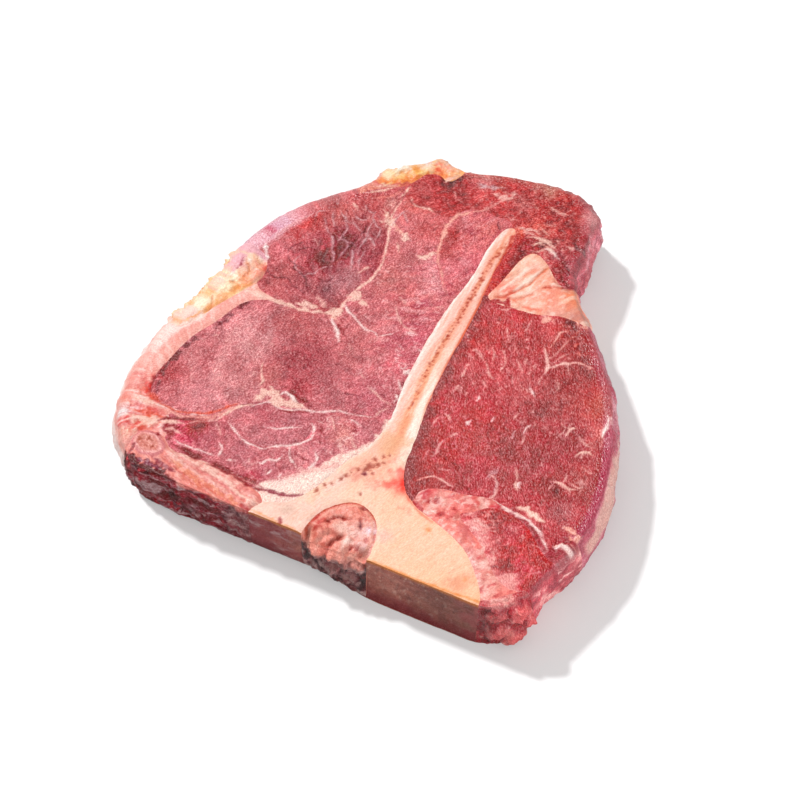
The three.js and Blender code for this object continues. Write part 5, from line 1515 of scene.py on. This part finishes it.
HAZE = 0.014         # what the surface reflects of the sky and the key light
WET_HAZE = 0.05      # and what lean meat reflects besides
LIGHT = 1.42         # the colours above are as lit; this takes the light out of them
CELL = 500.0         # cells of the creases to a metre
# pale specks added to lean meat: partly fine threads of fat, partly painted glints
FAT_AND_GLINT_SPECK = (0.11, 0.09, 0.09)
DEEPER = {"X": (0.62, 1.05), "Y": (1.2, 1.06), "Z": (1.15, 1.06)}  # the deeper the shade, the redder


def feed(tree, socket, value):
    """Links a socket to an output, or sets it."""
    if isinstance(value, bpy.types.NodeSocket):
        tree.links.new(value, socket)
    elif value is not None:
        socket.default_value = value


def node(tree, kind, **inputs):
    made = tree.nodes.new("ShaderNode" + kind)
    for key, value in inputs.items():
        feed(tree, made.inputs[key], value)
    return made


def math_node(tree, operation, a, b=None, clamp=False):
    made = tree.nodes.new("ShaderNodeMath")
    made.operation = operation
    made.use_clamp = clamp
    for socket, value in zip(made.inputs, (a, b)):
        feed(tree, socket, value)
    return made.outputs[0]


def vector_math(tree, operation, *values, scale=None):
    made = tree.nodes.new("ShaderNodeVectorMath")
    made.operation = operation
    for socket, value in zip(made.inputs, values):
        feed(tree, socket, value)
    if scale is not None:
        feed(tree, made.inputs["Scale"], scale)
    return made.outputs["Vector"]


def spread(tree, value, low, high, to_low, to_high):
    made = node(tree, "MapRange", Value=value)
    for key, limit in zip(("From Min", "From Max", "To Min", "To Max"), (low, high, to_low, to_high)):
        made.inputs[key].default_value = limit
    return made.outputs["Result"]


def attribute(tree, name):
    made = tree.nodes.new("ShaderNodeAttribute")
    made.attribute_name = name
    return made


def creases(tree, where, lean):
    """Soft clefts between the cells of lean meat, deeper in some places than in others; they sink
    the bump, and the colour is darkened in them as painted shade.
    """
    broad = node(tree, "TexNoise", Vector=where, Scale=150.0, Detail=2.0, Roughness=0.5)
    bent = vector_math(tree, "MULTIPLY_ADD", broad.outputs["Color"], (0.004, 0.004, 0.004), where)
    cells = node(tree, "TexVoronoi", Vector=bent, Scale=CELL)
    cells.feature = "DISTANCE_TO_EDGE"
    cleft = spread(tree, cells.outputs["Distance"], 0.0, 0.32, 1.0, 0.0)
    cleft = math_node(tree, "MULTIPLY", cleft, spread(tree, broad.outputs["Fac"], 0.38, 0.6, 0.25, 1.0))
    return math_node(tree, "MULTIPLY", cleft, lean)


def shading(tree, small, dots, crease, fat, lean, fine):
    """How much lighter or darker than its tint each place is; the creases are darkened as painted shade."""
    shade = math_node(tree, "ADD", spread(tree, small, 0.3, 0.7, -0.42 * fine, 0.42 * fine),
                      spread(tree, dots, 0.35, 0.65, -1.35 * fine, 1.35 * fine))
    shade = math_node(tree, "MULTIPLY", shade, spread(tree, fat, 0.0, 1.0, 1.0, 0.8))
    shade = math_node(tree, "SUBTRACT", shade, math_node(tree, "MULTIPLY", crease, fine * 0.5))
    return math_node(tree, "SUBTRACT", shade, math_node(tree, "MULTIPLY", lean, 0.1))


def tissue(name, angle, stretch, fine, bump):
    """Moist animal tissue, coloured by its piece. Its fibres run at that angle; fine is how much
    the colour varies in small."""
    material = bpy.data.materials.new(name)
    material.use_nodes = True
    tree = material.node_tree
    shader = tree.nodes["Principled BSDF"]
    where = tree.nodes.new("ShaderNodeTexCoord").outputs["Object"]
    tint = attribute(tree, "tint").outputs["Color"]
    fat = attribute(tree, "fat").outputs["Fac"]
    gloss = attribute(tree, "gloss").outputs["Fac"]
    lean = math_node(tree, "SUBTRACT", 1.0, fat, True)

    fibres = node(tree, "Mapping", Vector=where, Rotation=(0, 0, math.radians(angle)), Scale=(stretch, 1, 1))
    fibres.vector_type = "TEXTURE"
    fibres = fibres.outputs["Vector"]
    small = node(tree, "TexNoise", Vector=fibres, Scale=1250.0, Detail=2.0, Roughness=0.6).outputs["Fac"]
    dots = node(tree, "TexNoise", Vector=fibres, Scale=2300.0, Detail=1.0, Roughness=0.5).outputs["Fac"]
    crease = creases(tree, where, lean)

    shade = shading(tree, small, dots, crease, fat, lean, fine)
    deep = node(tree, "CombineXYZ", **{
        axis: math_node(tree, "ADD", math_node(tree, "MULTIPLY", shade, slope), middle)
        for axis, (slope, middle) in DEEPER.items()})
    # pale specks on the lean: partly fat, partly painted glints
    fat_and_glint_speck = math_node(tree, "MULTIPLY", spread(tree, dots, 0.52, 0.7, 0.0, 1.0), lean)
    colour = vector_math(tree, "MULTIPLY", tint, deep.outputs["Vector"])
    colour = vector_math(tree, "ADD", colour, vector_math(tree, "SCALE", FAT_AND_GLINT_SPECK, scale=fat_and_glint_speck))
    feed(tree, shader.inputs["Base Color"], colour)

    rough = spread(tree, small, 0.3, 0.7, 0.06, -0.06)
    wet = spread(tree, gloss, 0.0, 1.0, 0.62, 0.24)
    feed(tree, shader.inputs["Roughness"], math_node(tree, "ADD", rough, wet, True))
    feed(tree, shader.inputs["Specular IOR Level"], spread(tree, gloss, 0.0, 1.0, 0.08, 0.5))

    height = math_node(tree, "SUBTRACT", small, math_node(tree, "MULTIPLY", crease, 0.4))
    height = math_node(tree, "ADD", height, math_node(tree, "MULTIPLY", dots, 0.6))
    lifted = node(tree, "Bump", Height=height, Strength=bump, Distance=0.0006)
    feed(tree, shader.inputs["Normal"], lifted.outputs["Normal"])
    return material


# Each slot's fibre angle in degrees and stretch, small variation of colour, and depth of relief.
KINDS = {
    "red_meat": (-62, 2.0, 0.23, 0.7), "rose_meat": (65, 1.6, 0.25, 0.8), "dark_meat": (25, 1.8, 0.24, 0.9),
    "pink_fat": (35, 1.5, 0.17, 0.4), "peach_fat": (60, 2.0, 0.12, 0.4), "yellow_fat": (60, 1.5, 0.14, 0.5),
    "orange_fat": (40, 1.8, 0.15, 0.5), "cut_bone": (66, 2.5, 0.11, 0.3),
    "spine_tissue": (-17, 2.4, 0.18, 0.5), "canal_tissue": (0, 1.2, 0.16, 0.6),
}
NODE_SLOT = {
    "spinal_tissue": "canal_tissue", "bone": "cut_bone", "kidney_fat": "peach_fat",
    "corner_trim": "red_meat", "side_strap": "red_meat", "tenderloin": "red_meat",
    "seam_fat": "pink_fat", "fat_cap": "pink_fat", "arm_muscle": "rose_meat",
    "oval_muscle": "rose_meat", "sirloin_cap": "rose_meat", "back_muscle": "rose_meat",
    "strip_loin": "rose_meat", "back_fat": "orange_fat", "flank_tail": "dark_meat",
    "rump_fat": "yellow_fat", "spine_band": "spine_tissue",
}
materials = {slot: tissue(slot, *numbers) for slot, numbers in KINDS.items()}


# ---- the pieces ----

def paint_face(name, own):
    """A painted canvas for the lattice points `own`, and the height of each on the upper face."""
    canvas = Canvas(flat[own, 0], flat[own, 1], edge_distance[own])
    PAINTERS[name](canvas)
    if name not in NO_MARKS:
        marks(canvas)
    ground = FACE + swells(SWELLS, canvas.x, canvas.y)
    above = face_height(name, canvas.x, canvas.y) - ground + canvas.rise * smooth(0.0, 1.5, canvas.edge)
    clear = seam_distance[own]
    return canvas, ground - SEAM_DEPTH * smooth(1.8, 0.0, clear) + above * smooth(0.0, 1.4, clear)


def side_faces(k, own, column):
    """Quads down the outside, quads along the seams, and many-sided faces where the two meet."""
    total = len(own)
    mine = borders[(borders[:, 2] == k) | (borders[:, 3] == k)]
    flip = mine[:, 3] == k
    find = np.full(len(flat), -1)
    find[own] = np.arange(total)
    a = find[np.where(flip, mine[:, 1], mine[:, 0])]
    b = find[np.where(flip, mine[:, 0], mine[:, 1])]
    outside = np.where(flip, mine[:, 2], mine[:, 3]) < 0
    ca, cb = column[a[outside]], column[b[outside]]
    band = np.stack([ca[:, :-1], cb[:, :-1], cb[:, 1:], ca[:, 1:]], -1).reshape(-1, 4)
    plain = ~outside & (column[a, 0] < 0) & (column[b, 0] < 0)
    side = np.stack([a[plain] + total, b[plain] + total, b[plain], a[plain]], 1)
    fans = []
    for v, w in zip(a[~outside & ~plain], b[~outside & ~plain]):
        down = column[v][::-1] if column[v, 0] >= 0 else [v, v + total]
        up = column[w] if column[w, 0] >= 0 else [w + total, w]
        fans.append([*up, *down])
    return band, side, fans


def build_mesh(name, points, soft_quads, hard_quads, fans):
    """A mesh with smooth and flat faces; the flat ones and the fans have crisp edges."""
    quads = np.vstack([soft_quads, hard_quads])
    hard = np.arange(len(quads) + len(fans)) >= len(soft_quads)
    loops = np.concatenate([quads.ravel(), *[np.array(f) for f in fans]]).astype(np.int32)
    sizes = np.concatenate([np.full(len(quads), 4), [len(f) for f in fans]]).astype(np.int32)
    starts = np.concatenate([[0], np.cumsum(sizes)[:-1]]).astype(np.int32)
    metres = points.copy()
    metres[:, :2] += SHIFT
    mesh = bpy.data.meshes.new(name)
    mesh.vertices.add(len(points))
    mesh.vertices.foreach_set("co", (metres / 1000).astype(np.float32).ravel())
    mesh.loops.add(len(loops))
    mesh.loops.foreach_set("vertex_index", loops)
    mesh.polygons.add(len(sizes))
    mesh.polygons.foreach_set("loop_start", starts)
    mesh.update(calc_edges=True)
    mesh.polygons.foreach_set("use_smooth", ~hard)
    edge_of = np.empty(len(loops), np.int32)
    mesh.loops.foreach_get("edge_index", edge_of)
    crisp = np.zeros(len(mesh.edges), bool)
    crisp[edge_of[np.repeat(hard, sizes)]] = True
    mesh.edges.foreach_set("use_edge_sharp", crisp)
    return mesh


def colour_mesh(mesh, colours, hazes, fats, glosses):
    """Writes what the materials read at each point. tint is the colour with the light taken out."""
    tint = mesh.attributes.new("tint", "FLOAT_COLOR", "POINT")
    haze = np.concatenate(hazes)[:, None]
    linear = np.clip((to_linear(np.vstack(colours)) - haze) / LIGHT, 0.004, 0.92)
    tint.data.foreach_set("color", np.column_stack([linear, np.ones(len(linear))]).astype(np.float32).ravel())
    for key, values in (("fat", fats), ("gloss", glosses)):
        layer = mesh.attributes.new(key, "FLOAT", "POINT")
        layer.data.foreach_set("value", np.clip(np.concatenate(values), 0, 1).astype(np.float32))


def make_piece(k, name):
    j, i = np.nonzero(label == k)
    quads = np.stack([number[j, i], number[j, i + 1], number[j + 1, i + 1], number[j + 1, i]], 1)
    own, local = np.unique(quads, return_inverse=True)
    local = local.reshape(-1, 4)
    total = len(own)
    canvas, top = paint_face(name, own)

    # upper face, underside, then the wall's columns
    on_edge = np.nonzero(rim_index[own] >= 0)[0]
    upper = np.column_stack([flat[own], top])
    lower = np.column_stack([under[own], np.zeros(total)])
    points, colours = [upper, lower], [canvas.colour, canvas.colour * 0.97]
    fats, glosses = [canvas.fat, canvas.fat], [canvas.gloss, canvas.gloss]
    hazes = [HAZE + WET_HAZE * (1 - np.clip(canvas.fat, 0, 1))] * 2
    column = np.full((total, LEVELS), -1)
    if len(on_edge):
        w = make_wall(name, rim_index[own[on_edge]], top[on_edge], canvas.colour[on_edge])
        inner = w.points[:, 1:-1]
        points.append(inner.reshape(-1, 3))
        colours.append(w.colour[:, 1:-1].reshape(-1, 3))
        fats.append(w.fat[:, 1:-1].ravel())
        glosses.append(w.gloss[:, 1:-1].ravel())
        hazes.append(np.full(inner[..., 0].size, HAZE))
        column[on_edge, 0] = on_edge + total
        column[on_edge, -1] = on_edge
        column[on_edge, 1:-1] = 2 * total + np.arange(inner[..., 0].size).reshape(inner.shape[:2])
        upper[on_edge, :2] = w.points[:, -1, :2]
        lower[on_edge, :2] = w.points[:, 0, :2]

    band, side, fans = side_faces(k, own, column)
    soft_quads = np.vstack([local, local[:, ::-1] + total, band])
    mesh = build_mesh(name + "_look", np.vstack(points), soft_quads, side, fans)
    colour_mesh(mesh, colours, hazes, fats, glosses)
    mesh.validate()
    piece = bpy.data.objects.new(name + "_look", mesh)
    bpy.context.scene.collection.objects.link(piece)
    slot = NODE_SLOT[name]
    mesh.materials.append(materials[slot])
    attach(piece, "root")
    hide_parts(name)
    return piece


for k, name in enumerate(names):
    make_piece(k, name)

# ---- floor, light and camera ----

PAPER = 0.58         # the floor's own shade
GLOW = 0.26          # what it gives off; this is only seen, and doesn't light the meat
FLOOR_SIZE = 8.0
FLOOR_DROP = 0.0002  # just under the meat
SUN_TRAVEL = Vector((0.78, -0.22, -1.0))
SUN_ENERGY, SUN_ANGLE = 3.6, math.radians(5)
FILL_PLACE = Vector((1.15, -0.35, 0.2))
FILL_ENERGY, FILL_SIZE = 11, 0.7
SKY_LOW, SKY_GAIN = 0.12, 0.9
ELEVATION, AZIMUTH, DISTANCE = math.radians(60), math.radians(24.5), 1.0
AIM = Vector((SHIFT[0] / 1000, (SHIFT[1] - 11) / 1000, 0))
SENSOR = 36.0        # mm
FOCAL, PHOTO_WIDTH = 2450, 800    # in pixels of the photo


def make_floor():
    """Matte paper."""
    bpy.ops.mesh.primitive_plane_add(size=FLOOR_SIZE, location=(0, 0, -FLOOR_DROP))
    floor = bpy.context.object
    floor.name = "floor"
    paper = bpy.data.materials.new("paper")
    paper.use_nodes = True
    tree = paper.node_tree
    shader = tree.nodes["Principled BSDF"]
    shader.inputs["Base Color"].default_value = (PAPER, PAPER, PAPER, 1)
    shader.inputs["Roughness"].default_value = 1.0
    shader.inputs["Specular IOR Level"].default_value = 0.0
    shader.inputs["Emission Color"].default_value = (1, 1, 1, 1)
    seen = tree.nodes.new("ShaderNodeLightPath").outputs["Is Camera Ray"]
    tree.links.new(math_node(tree, "MULTIPLY", seen, GLOW), shader.inputs["Emission Strength"])
    floor.data.materials.append(paper)
    return floor


def add_to_scene(name, data, place, travel):
    """An object that looks or shines along its travel."""
    made = bpy.data.objects.new(name, data)
    made.location = place
    made.rotation_euler = travel.to_track_quat("-Z", "Y").to_euler()
    bpy.context.scene.collection.objects.link(made)
    return made


def add_lights():
    sun = bpy.data.lights.new("key", "SUN")
    sun.energy = SUN_ENERGY
    sun.angle = SUN_ANGLE
    add_to_scene("key", sun, (0, 0, 0), SUN_TRAVEL)
    fill = bpy.data.lights.new("fill", "AREA")
    fill.energy = FILL_ENERGY
    fill.size = FILL_SIZE
    add_to_scene("fill", fill, FILL_PLACE, -FILL_PLACE)


def add_sky():
    """A soft sky, brightest overhead."""
    world = bpy.data.worlds.new("studio")
    world.use_nodes = True
    tree = world.node_tree
    background = tree.nodes["Background"]
    background.inputs["Color"].default_value = (1, 1, 1, 1)
    up = node(tree, "SeparateXYZ", Vector=tree.nodes.new("ShaderNodeTexCoord").outputs["Generated"])
    height = math_node(tree, "POWER", math_node(tree, "MAXIMUM", up.outputs["Z"], 0.0), 2.0)
    strength = math_node(tree, "ADD", math_node(tree, "MULTIPLY", height, SKY_GAIN), SKY_LOW)
    tree.links.new(strength, background.inputs["Strength"])
    bpy.context.scene.world = world


def add_camera():
    data = bpy.data.cameras.new("camera")
    data.sensor_width = SENSOR
    data.lens = FOCAL / PHOTO_WIDTH * SENSOR
    flat_reach = math.cos(ELEVATION)
    away = Vector((math.sin(AZIMUTH) * flat_reach, -math.cos(AZIMUTH) * flat_reach, math.sin(ELEVATION)))
    place = AIM + DISTANCE * away
    bpy.context.scene.camera = add_to_scene("camera", data, place, AIM - place)
    bpy.context.scene.view_settings.view_transform = "Standard"


floor = make_floor()
add_lights()
add_sky()
add_camera()
